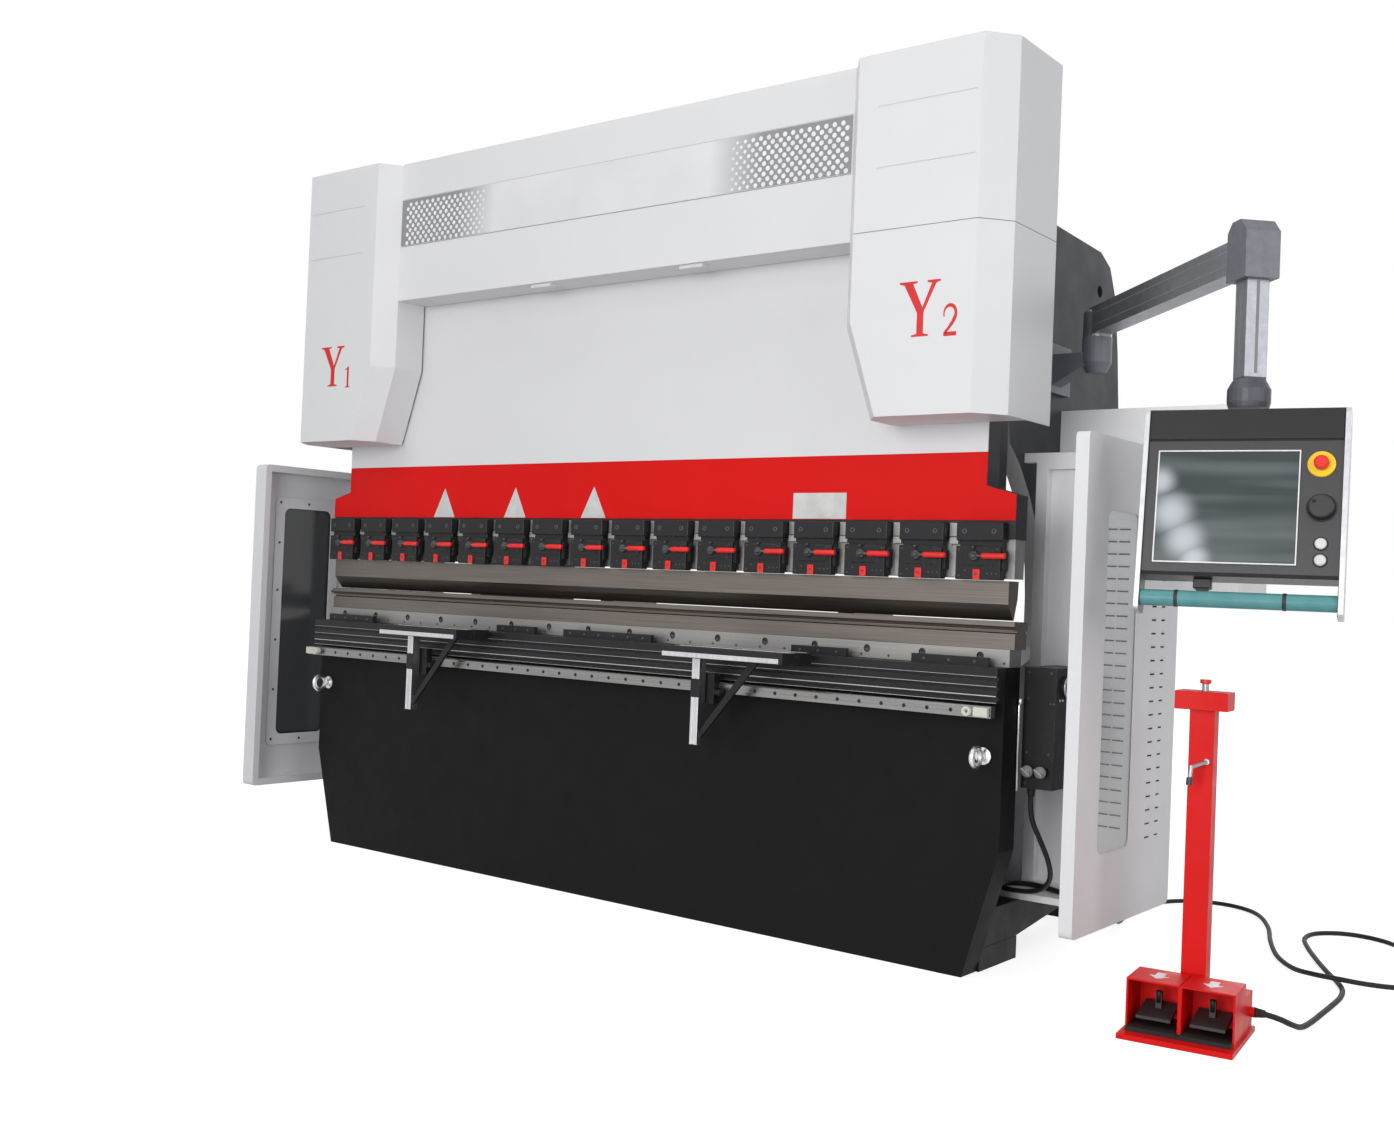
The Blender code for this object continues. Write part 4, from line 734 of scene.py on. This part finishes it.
def make_bed_details():
    screws = bmesh.new()
    y = holder_low.y
    for x in clamp_places():
        lathe_into(screws, [(0.011, 0.01), (0.011, 0.004), (0.0095, 0.003), (0.0055, 0.003),
                            (0.0055, 0.009)], (x, y, 0.974), ALONG_Y, 20)
    for i in range(SET_SCREWS):
        x = -1.52 + i * SET_SCREW_PITCH
        lathe_into(screws, [(0.0042, 0.002), (0.0042, -0.0006), (0.003, -0.001)], (x, y, 0.955), ALONG_Y, 10)
    finish_piece("holder_screws", screws, "machine", "clamp_hardware")

    # Thin bright metal strips along the table's slot lips: painted highlights where the lips catch the light.
    edges = bmesh.new()
    front = table_low.y
    for low, high in ((0.916, 0.9172), (0.887, 0.8886), (0.8575, 0.8605), (0.8385, 0.84)):
        box_into(edges, table_low.x + 0.002, table_high.x - 0.002, front - 0.0006, front + 0.002, low, high)
    finish_piece("slot_edges", edges, "machine", "strip_silver")

    marks = bmesh.new()
    y = rail_low.y
    x = rail_low.x + 0.1
    while x < rail_high.x - 0.11:
        lathe_into(marks, [(0.0062, 0.003), (0.0062, -0.0004), (0.0052, -0.0006)], (x, y, 0.8115), ALONG_Y, 14)
        x += RAIL_HOLE_PITCH
    finish_piece("rail_holes", marks, "machine", "slot_shadow")

    stops = bmesh.new()
    for side, x in ((-1.0, rail_low.x), (1.0, rail_high.x)):
        inner = x - side * 0.07
        lathe_into(stops, [(0.0055, 0.0), (0.014, 0.0), (0.015, 0.002), (0.015, 0.022), (0.014, 0.024),
                           (0.0055, 0.024)], (inner, y - 0.0005, 0.8125), FORWARD, 24, closed=False)
        near, far = sorted((inner + side * 0.018, x - side * 0.004))
        soft_box_into(stops, near, far, y - 0.016, y - 0.0005, 0.7985, 0.8265, 0.002)
    finish_piece("rail_end_stops", stops, "machine", "plastic_cream")

    spots = []
    for x0, x1 in KEEPERS:
        count = max(2, round((x1 - x0) / KEEPER_SCREW_PITCH))
        spots += [(x0 + (i + 0.5) * (x1 - x0) / count, -0.1, 0.957) for i in range(count)]
    turned_piece("keeper_screws", "machine", "clamp_hardware",
                 [(0.005, 0.002), (0.005, -0.001), (0.0038, -0.0016)], spots, ALONG_Y, 12)


make_bed_details()

# ---------------- front supports

SUPPORT_AXIS_Y = -0.218


def make_support(side, x, length):
    arm = "arm_" + side
    body = "support_" + side
    y = SUPPORT_AXIS_Y
    top = bmesh.new()
    x0 = x - 0.066
    x1 = x0 + length
    soft_boxes_into(top, (
        (x0, x1, -0.337, -0.262, 0.915, 0.951, 0.002),
        (x0, x1, -0.262, -0.246, 0.915, 0.939, 0.001),
        (x0, x1, -0.246, -0.169, 0.915, 0.951, 0.002),
        (x1 - 0.012, x1 - 0.0005, -0.339, -0.1685, 0.9155, 0.9516, 0.001)))
    gusset = [(x + 0.014, 0.64), (x + 0.014, 0.668), (x + 0.214, 0.914), (x + 0.246, 0.914)]
    plate = bmesh.new()
    outline_into(plate, gusset, lambda a, b, t: Vector((a, y - 0.0055 + t, b)), 0.011)
    merge(top, plate)
    soft_box_into(top, x - 0.0185, x + 0.0185, y - 0.0195, y - 0.017, 0.78, 0.842, 0.001)
    finish_piece("support_top_" + side, top, body, "coat_gun", (arm,))

    a0 = x0 + 0.001
    a1 = x1 - 0.013
    # The first four rows are thin bright strips on the front face and along the top's edges: painted
    # highlights; the last three rows are the silver post.
    boxed_piece("support_post_and_highlights_" + side, body, "arm_silver", (
        (a0, a1, -0.3398, -0.3365, 0.9175, 0.933, 0.0008),
        (a0, a1, -0.268, -0.263, 0.95, 0.9518, 0.0005),
        (a0, a1, -0.245, -0.24, 0.95, 0.9518, 0.0005),
        (a0, a1, -0.174, -0.17, 0.95, 0.9518, 0.0005),
        (x - 0.0155, x - 0.006, y - 0.019, y + 0.019, 0.622, 0.9155, 0.001),
        (x + 0.006, x + 0.0155, y - 0.019, y + 0.019, 0.622, 0.9155, 0.001),
        (x - 0.0062, x + 0.0062, y - 0.015, y + 0.015, 0.6225, 0.9155, 0.0005)))


make_support("left", -0.865, 0.43)
make_support("right", 0.553, 0.48)

# ---------------- covers

BAND_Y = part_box("beam_cover")[0].y
BAND_HALF = 1.065
BAND_LOW = 2.476
BAND_HIGH = 2.661
DOT_R = 0.0086
DOT_PITCH = 0.032
DOT_ROW = 0.0172


def fading_grey(name):
    """Grey at both ends of the strip, fading to the pale ground towards its middle."""
    tree, shader = start_material(name)
    split = add(tree, "ShaderNodeSeparateXYZ")
    tree.links.new(add(tree, "ShaderNodeTexCoord").outputs["Object"], split.inputs[0])
    left = spread(tree, split.outputs["X"], 1.0, 0.0, -0.74, -0.54)
    right = spread(tree, split.outputs["X"], 0.0, 1.0, 0.5, 0.72)
    ends = maths(tree, "MAXIMUM", left, right)
    base = toned(tree, blend_colour(tree, ends, (0.72, 0.72, 0.73), (0.25, 0.25, 0.265)),
                 spread(tree, noise(tree, 5.0, 4.0), 0.96, 1.04))
    finish_with(tree, shader, base, spread(tree, noise(tree, 15.0, 4.0), 0.3, 0.4))


def make_band():
    fading_grey("band_film")
    film = bmesh.new()
    box_into(film, -BAND_HALF, BAND_HALF, BAND_Y - 0.0006, BAND_Y - 0.0001, BAND_LOW, BAND_HIGH)
    finish_piece("band_film", film, "machine", "band_film")
    dots = bmesh.new()
    row = 0
    z = BAND_LOW + 0.0095
    while z < BAND_HIGH - 0.006:
        shift = DOT_PITCH / 2 if row % 2 else 0.0
        for start, end, step in ((-BAND_HALF + 0.035 + shift, -0.585, DOT_PITCH),
                                 (BAND_HALF - 0.02 - shift, 0.595, -DOT_PITCH)):
            x = start
            while (x - end) * step < 0:
                radius = DOT_R * (0.6 + 0.4 * min(1.0, abs(x - end) / 0.12))
                lathe_into(dots, [(radius, 0.0), (radius - 0.0003, 0.0006)],
                           (x, BAND_Y - 0.0004, z), FORWARD, 12)
                x += step
        z += DOT_ROW
        row += 1
    finish_piece("band_dots", dots, "machine", "print_white")
    edge = bmesh.new()
    for low in (BAND_LOW - 0.0035, BAND_HIGH + 0.001):
        box_into(edge, -BAND_HALF, BAND_HALF, BAND_Y + 0.0006, BAND_Y + 0.0014, low, low + 0.0022)
    finish_piece("band_edge", edge, "machine", "seam_grey")


painted("seam_grey", (0.2, 0.2, 0.21), 0.6, mottle=0.05)
make_band()


def letter_y():
    return [(0.0, 1.0), (0.44, 1.0), (0.44, 0.968), (0.335, 0.95), (0.575, 0.52), (0.79, 0.945),
            (0.68, 0.968), (0.68, 1.0), (1.0, 1.0), (1.0, 0.968), (0.895, 0.94), (0.61, 0.44),
            (0.61, 0.052), (0.735, 0.03), (0.735, 0.0), (0.325, 0.0), (0.325, 0.03), (0.45, 0.052),
            (0.45, 0.425), (0.12, 0.94), (0.0, 0.968)]


def digit_one():
    return [(0.36, 0.0), (0.94, 0.0), (0.94, 0.04), (0.76, 0.06), (0.76, 1.0), (0.68, 1.0), (0.36, 0.86),
            (0.36, 0.83), (0.56, 0.86), (0.56, 0.06), (0.36, 0.04)]


def digit_two():
    """Outline swept along the bowl with a swelling stroke, on a flat foot."""
    path = []
    for i in range(15):
        angle = math.radians(200 - i * 17)
        path.append((0.48 + 0.33 * math.cos(angle), 0.7 + 0.26 * math.sin(angle), 0.03 + 0.055 * (i / 14)))
    path += [(0.62, 0.4, 0.07), (0.42, 0.24, 0.055), (0.24, 0.115, 0.05)]
    left = []
    right = []
    for i, (a, b, w) in enumerate(path):
        p = path[max(0, i - 1)]
        q = path[min(len(path) - 1, i + 1)]
        along = Vector((q[0] - p[0], q[1] - p[1])).normalized()
        left.append((a - along.y * w, b + along.x * w))
        right.append((a + along.y * w, b - along.x * w))
    return left + right[::-1]


MARKS = (("axis_mark_left", ((letter_y(), 0.0, -1.44, -1.295, 1.913, 2.077),
                             (digit_one(), 0.0, -1.3, -1.248, 1.904, 1.99))),
         ("axis_mark_right", ((letter_y(), 0.0, 1.303, 1.442, 1.922, 2.089),
                              (digit_two(), 0.13, 1.447, 1.507, 1.917, 2.012))))
PRINT_T = 0.0006
LABEL_T = 0.0008
SEAM_H = 0.0022


def make_marks():
    """Axis names; a foot is the height of the flat bar under a digit, as a share of its height."""
    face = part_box("cover_left")[0].y
    for name, shapes in MARKS:
        bm = bmesh.new()
        for outline, foot, x0, x1, z0, z1 in shapes:
            wide = x1 - x0
            tall = z1 - z0
            outline_into(bm, outline, lambda a, b, t: Vector((x0 + a * wide, face - t, z0 + b * tall)), PRINT_T)
            if foot:
                box_into(bm, x0 + 0.16 * wide, x0 + 0.86 * wide, face - PRINT_T, face, z0, z0 + foot * tall)
        finish_piece(name, bm, "machine", "print_red", triangulate=True)


def make_blank_labels():
    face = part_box("ram_red_skin")[0].y
    bm = bmesh.new()
    for x0, x1 in ((-0.967, -0.845), (-0.566, -0.448), (-0.161, -0.038)):
        outline_into(bm, [(x0, 1.3885), (x1, 1.3885), ((x0 + x1) / 2, 1.506)],
                     lambda a, b, t: Vector((a, face - t, b)), LABEL_T)
    box_into(bm, 0.793, 1.001, face - LABEL_T, face, 1.389, 1.475)
    finish_piece("blank_labels", bm, "ram", "label_blank")


def make_seams():
    bm = bmesh.new()
    low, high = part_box("cover_right")
    z = 2.256
    corner_x = 1.555
    corner_y = -0.19
    box_into(bm, 1.13, corner_x, low.y - 0.0005, low.y + 0.001, z, z + SEAM_H)
    box_into(bm, high.x - 0.001, high.x + 0.0003, corner_y, high.y, z, z + SEAM_H)
    start = Vector((corner_x, low.y, z))
    along = Vector((high.x, corner_y, z)) - start
    turn = Matrix.Translation(start) @ along.to_track_quat("X", "Z").to_matrix().to_4x4()
    box_into(bm, 0.0, along.length, -0.0006, 0.0006, 0.0, SEAM_H, turn)
    finish_piece("cover_seam", bm, "machine", "seam_grey")


make_marks()
make_blank_labels()
make_seams()

# ---------------- doors and enclosure

WIN_Y0 = -0.085
WIN_Y1 = 0.16
WIN_Z0 = 0.425
WIN_Z1 = 1.42
WIN_R = 0.03
DOOR_OUT_X = 1.905


def rounded(a0, a1, b0, b1, radius, steps=6):
    outline = []
    for ca, cb, turn in ((a1 - radius, b1 - radius, 0), (a0 + radius, b1 - radius, 1),
                         (a0 + radius, b0 + radius, 2), (a1 - radius, b0 + radius, 3)):
        for i in range(steps + 1):
            angle = (turn + i / steps) * math.pi / 2
            outline.append((ca + radius * math.cos(angle), cb + radius * math.sin(angle)))
    return outline


def ring_into(bm, outer, inner, place, thickness):
    rings = []
    for outline, depth in ((inner, 0.0), (inner, thickness), (outer, thickness), (outer, 0.0)):
        rings.append([bm.verts.new(place(a, b, depth)) for a, b in outline])
    count = len(outer)
    for low, high in zip(rings, rings[1:] + rings[:1]):
        for i in range(count):
            j = (i + 1) % count
            bm.faces.new((low[i], low[j], high[j], high[i]))


def make_window_frame(side, sign):
    pane_low, pane_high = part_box("pane_" + side)
    inner_x = pane_high.x if sign < 0 else pane_low.x
    start = inner_x - sign * 0.0003

    def place(a, b, t):
        return Vector((start - sign * t, a, b))

    bm = bmesh.new()
    ring_into(bm, rounded(WIN_Y0 - 0.052, WIN_Y1 + 0.052, WIN_Z0 - 0.052, WIN_Z1 + 0.052, 0.022),
              rounded(WIN_Y0 - 0.004, WIN_Y1 + 0.004, WIN_Z0 - 0.004, WIN_Z1 + 0.004, WIN_R), place, 0.003)
    finish_piece("window_frame_" + side, bm, "door_" + side, "coat_white")
    face = start - sign * 0.003
    spots = [(face, y, z) for y in (WIN_Y0 - 0.028, WIN_Y1 + 0.028)
             for z in (0.4, 0.62, 0.84, 1.06, 1.27, 1.448)]
    spots += [(face, 0.037, z) for z in (0.397, 1.448)]
    turned_piece("window_screws_" + side, "door_" + side, "clamp_hardware",
                 [(0.0055, 0.0), (0.0055, 0.002), (0.004, 0.003)], spots, (-sign, 0.0, 0.0), 12)
    seal = bmesh.new()
    ring_into(seal, rounded(WIN_Y0 - 0.0002, WIN_Y1 + 0.0002, WIN_Z0 - 0.0002, WIN_Z1 + 0.0002, WIN_R),
              rounded(WIN_Y0 + 0.004, WIN_Y1 - 0.004, WIN_Z0 + 0.004, WIN_Z1 - 0.004, WIN_R - 0.004),
              lambda a, b, t: Vector((sign * (DOOR_OUT_X - 0.0003 - t), a, b)), 0.003)
    finish_piece("window_seal_" + side, seal, "door_" + side, "coat_white")


def louvre_into(bm, centre, half, along, out):
    """Pressed louvre: a dark slit under a small hood. along and out are unit vectors."""
    up = Vector(UPWARD)
    c = Vector(centre)
    for low, high, depth, index in ((-0.003, 0.0022, 0.0006, 1), (0.0022, 0.0075, 0.0024, 0)):
        quad = []
        for a, z in ((-half, low), (half, low), (half, high), (-half, high)):
            quad.append(c + along * a + up * z)
        front = [p + out * (depth if (i < 2 or index) else 0.0003) for i, p in enumerate(quad)]
        verts = [bm.verts.new(p) for p in quad + front]
        for face in ((0, 1, 2, 3), (7, 6, 5, 4), (0, 4, 5, 1), (1, 5, 6, 2), (2, 6, 7, 3), (3, 7, 4, 0)):
            bm.faces.new([verts[i] for i in face]).material_index = index


DOOR_ROWS = (24, 0.44, 0.0415)
DOOR_COLUMNS = ((0.3, 0.017), (0.378, 0.013))
PANEL_ROWS = (25, 0.43, 0.04)
PANEL_COLUMNS = ((1.611, 0.038), (1.698, 0.02), (1.7485, 0.0245))
PANEL_FACE_Y = 0.456


def make_louvres():
    y_axis = Vector(ALONG_Y)
    x_axis = Vector(ALONG_X)
    for side, sign in (("left", -1.0), ("right", 1.0)):
        bm = bmesh.new()
        count, start, pitch = DOOR_ROWS
        for row in range(count):
            for y, half in DOOR_COLUMNS:
                louvre_into(bm, (sign * DOOR_OUT_X, y, start + pitch * row), half, y_axis, x_axis * sign)
        finish_piece("door_louvres_" + side, bm, "door_" + side, ["coat_white", "slot_shadow"])
        bm = bmesh.new()
        count, start, pitch = PANEL_ROWS
        for row in range(count):
            for x, half in PANEL_COLUMNS:
                louvre_into(bm, (sign * x, PANEL_FACE_Y, start + pitch * row), half, x_axis, -y_axis)
        finish_piece("panel_louvres_" + side, bm, "machine", ["coat_white_brightened", "slot_shadow"])


for side, sign in (("left", -1.0), ("right", 1.0)):
    make_window_frame(side, sign)
make_louvres()

# ---------------- drive box, brass fitting, cabinet


def make_drive_details():
    low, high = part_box("drive_box")
    face = high.x - 0.007
    front = 0.052
    socket_z = 0.631
    ring = bmesh.new()
    lathe_into(ring, [(0.0215, 0.0), (0.0215, 0.003), (0.0325, 0.003), (0.0325, 0.0)],
               (high.x + 0.0001, 0.122, 0.888), ALONG_X, 32, closed=False)
    for y, z in ((0.08, 0.848), (0.1, 0.848), (0.185, 0.905), (0.26, 0.925), (0.26, 0.7)):
        lathe_into(ring, [(0.004, 0.0), (0.004, 0.0016), (0.003, 0.0024)], (face, y, z), ALONG_X, 12)
    lathe_into(ring, [(0.0042, 0.0), (0.0042, 0.27), (0.0036, 0.2725)], (1.6052, 0.012, 0.57), UPWARD, 12)
    lathe_into(ring, [(0.0075, 0.0), (0.0075, 0.016), (0.005, 0.018)], (1.6082, 0.012, 0.832), UPWARD, 14)
    finish_piece("drive_ring", ring, "machine", "eye_steel")
    plugs = bmesh.new()
    for x in (1.6333, 1.6753):
        lathe_into(plugs, [(0.017, 0.0), (0.0182, 0.003), (0.0182, 0.008), (0.015, 0.01), (0.015, 0.014),
                           (0.006, 0.016), (0.006, 0.018)], (x, low.y, socket_z), FORWARD, 20)
        turn = Matrix.Translation((x, low.y - 0.0165, socket_z)) @ Matrix.Rotation(math.radians(35.0), 4, "Y")
        soft_box_into(plugs, -0.017, 0.017, -0.006, 0.003, -0.004, 0.004, 0.002, turn)
    finish_piece("drive_plugs", plugs, "machine", "cast_bright")
    spots = [(x, front, z) for x, z in ((1.616, 0.93), (1.688, 0.93), (1.616, 0.85), (1.688, 0.838),
                                        (1.698, 0.838), (1.616, 0.685), (1.688, 0.685), (1.614, 0.592))]
    turned_piece("drive_screws", "machine", "clamp_hardware",
                 [(0.004, 0.001), (0.004, -0.0014), (0.003, -0.002)], spots, ALONG_Y, 12)


def make_side_fitting():
    """Small brass fitting with a dark elbow on the pale edge of the left side frame."""
    spot = Vector((-1.37, 0.5655, 1.16))
    turned_piece("side_fitting", "machine", "brass",
                 [(0.015, 0.0), (0.015, 0.02), (0.011, 0.022), (0.011, 0.04), (0.016, 0.042),
                  (0.016, 0.052)], (spot,), FORWARD, 6)
    turned_piece("side_elbow", "machine", "rubber_black",
                 [(0.01, 0.0), (0.01, 0.03), (0.008, 0.032)], (spot + Vector((0.0, -0.0525, 0.0)),),
                 FORWARD, 16)


LOCK_X = 2.0304
LOCK_Y = 0.735

make_drive_details()
make_side_fitting()
turned_piece("cabinet_locks", "cabinet_door", "eye_steel",
             [(0.011, 0.0), (0.011, 0.002), (0.0095, 0.004), (0.004, 0.004)],
             [(LOCK_X, LOCK_Y, z) for z in (1.25, 1.73)], ALONG_X, 20)

# ---------------- pendant

PENDANT_SEAT = Vector((2.306, -0.146, 1.672))
PENDANT_TURN = (Matrix.Translation(PENDANT_SEAT) @ Matrix.Rotation(math.radians(11.4), 4, "Z")
                @ Matrix.Rotation(math.radians(-10.0), 4, "X"))
PENDANT_FACE = -0.055
BOOM_PIVOT = Vector((1.56, 0.611, 2.1))
boom_along = Vector((PENDANT_SEAT.x - BOOM_PIVOT.x, PENDANT_SEAT.y - BOOM_PIVOT.y, 0.0))
boom_length = boom_along.length
boom_along.normalize()
side_axis = PENDANT_TURN.to_3x3() @ Vector(ALONG_X)

SCREEN_GLARE = ((-0.205, -0.205, 0.03), (-0.172, -0.29, 0.042), (-0.137, -0.362, 0.04),
                (-0.11, -0.412, 0.03))
CASE_BLACK = ((0.02, 0.02, 0.022), 0.42, 0.0)
CASE_SILVER = ((0.5, 0.505, 0.52), 0.36, 0.5)
# Boom and drop tube take the silver of SILVER_PART darkened by 0.84 and 0.76: painted shade.
BOOM_SILVER_DARKENED = (scaled(SILVER_PART[0], 0.84), 0.38, 0.7)
ELBOW_GREY = ((0.14, 0.145, 0.165), 0.48, 0.2)
DROP_SILVER_DARKENED = (scaled(SILVER_PART[0], 0.76), 0.38, 0.7)
COLLAR_GREY = ((0.06, 0.062, 0.075), 0.45, 0.2)
KNOB_BLACK = ((0.015, 0.015, 0.015), 0.45, 0.0)
CAP_RED = ((0.72, 0.01, 0.01), 0.35, 0.0)

two_finish("pendant_case", CASE_BLACK, CASE_SILVER, tuple(side_axis), tuple(PENDANT_SEAT), 0.2425, True)
two_finish("boom_profile", BOOM_SILVER_DARKENED, ELBOW_GREY, tuple(boom_along), tuple(BOOM_PIVOT), boom_length - 0.056)
two_finish("drop_profile", DROP_SILVER_DARKENED, COLLAR_GREY, DOWNWARD, (0.0, 0.0, 1.765), 0.0)
two_finish("crank_steel", SILVER_PART, KNOB_BLACK, DOWNWARD, (0.0, 0.0, 0.69), 0.0)
two_finish("button_red", SILVER_PART, CAP_RED, UPWARD, (0.0, 0.0, 0.9385), 0.0)
for name, material in (("pendant_box", "pendant_case"), ("boom", "boom_profile"), ("drop_tube", "drop_profile"),
                       ("stand_crank", "crank_steel"), ("stand_button", "button_red")):
    dress(name, material)


def screen_glass(name):
    """Glossy dark screen with soft level bands and a chain of soft pale patches down one side: a painted
    reflection.
    """
    tree, shader = start_material(name)
    place = add(tree, "ShaderNodeTexCoord").outputs["Object"]
    bands = spread(tree, noise(tree, 1.0, 1.0, (1.5, 1.5, 21.0)), 0.0, 1.0, 0.42, 0.68)
    base = blend_colour(tree, bands, (0.04, 0.054, 0.057), (0.105, 0.125, 0.13))
    glare = 0.0
    for a, b, reach in SCREEN_GLARE:
        centre = PENDANT_TURN @ Vector((a, PENDANT_FACE - 0.003, b))
        away = vectors(tree, "DISTANCE", place, centre, output="Value")
        patch = spread(tree, away, 0.72, 0.0, 0.0, reach * 2.0)
        patch.node.interpolation_type = "SMOOTHERSTEP"
        glare = maths(tree, "MAXIMUM", glare, patch)
    base = blend_colour(tree, glare, base, (0.66, 0.69, 0.73))
    finish_with(tree, shader, base, spread(tree, noise(tree, 8.0, 4.0), 0.12, 0.2), Specular_IOR_Level=0.35)


screen_glass("screen_glass")
dress("pendant_screen", "screen_glass")


SCREEN_EDGE = (-0.2142, 0.1402, -0.4242, -0.1198)
BORDER_W = 0.0034
KNOB_PLACE = (0.194, -0.272)
BUTTON_A = 0.196
BUTTONS = (("upper", -0.366), ("lower", -0.409))
GRIP_B = -0.516
SLOT_T = 0.0003


def make_pendant_details():
    face = PENDANT_FACE
    near = face - 0.0003
    line = bmesh.new()

    def on_face(a, b, t):
        return PENDANT_TURN @ Vector((a, face - 0.0034 - t, b))

    a0, a1, b0, b1 = SCREEN_EDGE
    ring_into(line, rounded(a0, a1, b0, b1, 0.001, 1),
              rounded(a0 + BORDER_W, a1 - BORDER_W, b0 + BORDER_W, b1 - BORDER_W, 0.001, 1), on_face, 0.0012)
    finish_piece("screen_border", line, "pendant", "print_white")

    boxed_piece("pendant_header", "pendant", "header_black",
                ((-0.2405, 0.2405, face - 0.0035, near, -0.088, -0.0075, 0.001),), PENDANT_TURN)
    boxed_piece("pendant_grooves", "pendant", "slot_shadow",
                ((-0.2405, 0.2405, face - 0.0012, near, -0.0935, -0.0885, 0.0003),
                 (-0.2405, 0.2405, face - 0.002, near, -0.4575, -0.448, 0.0005)), PENDANT_TURN)
    turned_piece("grip_rings", "pendant", "plastic_black",
                 [(0.019, 0.0), (0.0228, 0.0005), (0.0228, 0.0095), (0.019, 0.01)],
                 [PENDANT_TURN @ Vector((a, face + 0.02, GRIP_B)) for a in (-0.155, 0.111)],
                 side_axis, 28, False)
    boxed_piece("pendant_port", "pendant", "plastic_black",
                ((-0.112, -0.066, face + 0.03, face + 0.06, -0.484, -0.4585, 0.003),
                 (-0.105, -0.073, face + 0.034, face + 0.056, -0.49, -0.4835, 0.002)), PENDANT_TURN)

    out = PENDANT_TURN.to_3x3() @ Vector(FORWARD)
    knob_a, knob_b = KNOB_PLACE
    turned_piece("knob_mark", "speed_knob", "slot_shadow",
                 [(0.005, 0.0), (0.005, 0.0006), (0.0035, 0.001)],
                 (PENDANT_TURN @ Vector((knob_a - 0.017, face - 0.0262, knob_b + 0.012)),), out, 16)
    turned_piece("knob_collar", "pendant", "plastic_black",
                 [(0.0335, 0.0), (0.0365, 0.0), (0.0365, 0.003), (0.0345, 0.0045), (0.0335, 0.0045)],
                 (PENDANT_TURN @ Vector((knob_a, near, knob_b)),), out, 36, False)
    for name, b in BUTTONS:
        turned_piece("button_bezel_" + name, "pendant", "header_black",
                     [(0.0152, 0.0), (0.0178, 0.0), (0.0178, 0.002), (0.016, 0.003), (0.0152, 0.003)],
                     (PENDANT_TURN @ Vector((BUTTON_A, near, b)),), out, 28, False)

    along = boom_along.to_track_quat("X", "Z").to_matrix().to_4x4()
    # Thin grey strips along the boom and drop profiles stand in for their slot grooves: painted shade.
    slots = bmesh.new()
    turn = Matrix.Translation(BOOM_PIVOT) @ along
    for y in (-0.0343, 0.034):
        for z in (-0.022, 0.018):
            box_into(slots, 0.05, boom_length - 0.06, y, y + SLOT_T, z, z + 0.004, turn)
    finish_piece("boom_slots", slots, "boom", "slot_grey")
    slots = bmesh.new()
    turn = Matrix.Translation((PENDANT_SEAT.x, PENDANT_SEAT.y, 0.0)) @ along
    for near in (-0.0313, 0.031):
        box_into(slots, -0.004, 0.004, near, near + SLOT_T, 1.775, 2.02, turn)
        box_into(slots, near, near + SLOT_T, -0.004, 0.004, 1.775, 2.02, turn)
    finish_piece("drop_slots", slots, "boom", "slot_grey")


painted("header_black", (0.01, 0.01, 0.011), 0.4, specular=0.3, mottle=0.06, wear=(0.1, 0.1, 0.1))
# Grey of the profile slot strips: painted shade.
painted("slot_grey", (0.2, 0.2, 0.21), 0.55, mottle=0.06)
make_pendant_details()

# ---------------- pedal stand

PEDAL_MIDDLES = {"left": 2.133, "right": 2.273}
HOOD_TOP_Z = 0.15
ARROW = [(-0.012, 0.034), (0.012, 0.034), (0.012, -0.002), (0.026, -0.002), (0.0, -0.036), (-0.026, -0.002),
         (-0.012, -0.002)]


def make_stand_details():
    arrows = bmesh.new()
    for x in PEDAL_MIDDLES.values():
        outline_into(arrows, ARROW,
                     lambda a, b, t: STAND_TURN @ Vector((x + a, -0.18 + b, HOOD_TOP_Z + t)), 0.0008)
    finish_piece("pedal_arrows", arrows, "machine", "print_white", triangulate=True)
    for side, x in PEDAL_MIDDLES.items():
        turned_piece("pedal_post_" + side, "pedal_" + side, "coat_gun",
                     [(0.0085, 0.0), (0.0085, 0.03), (0.007, 0.032)],
                     (STAND_TURN @ Vector((x, -0.176, 0.078)),), UPWARD, 16)


make_stand_details()
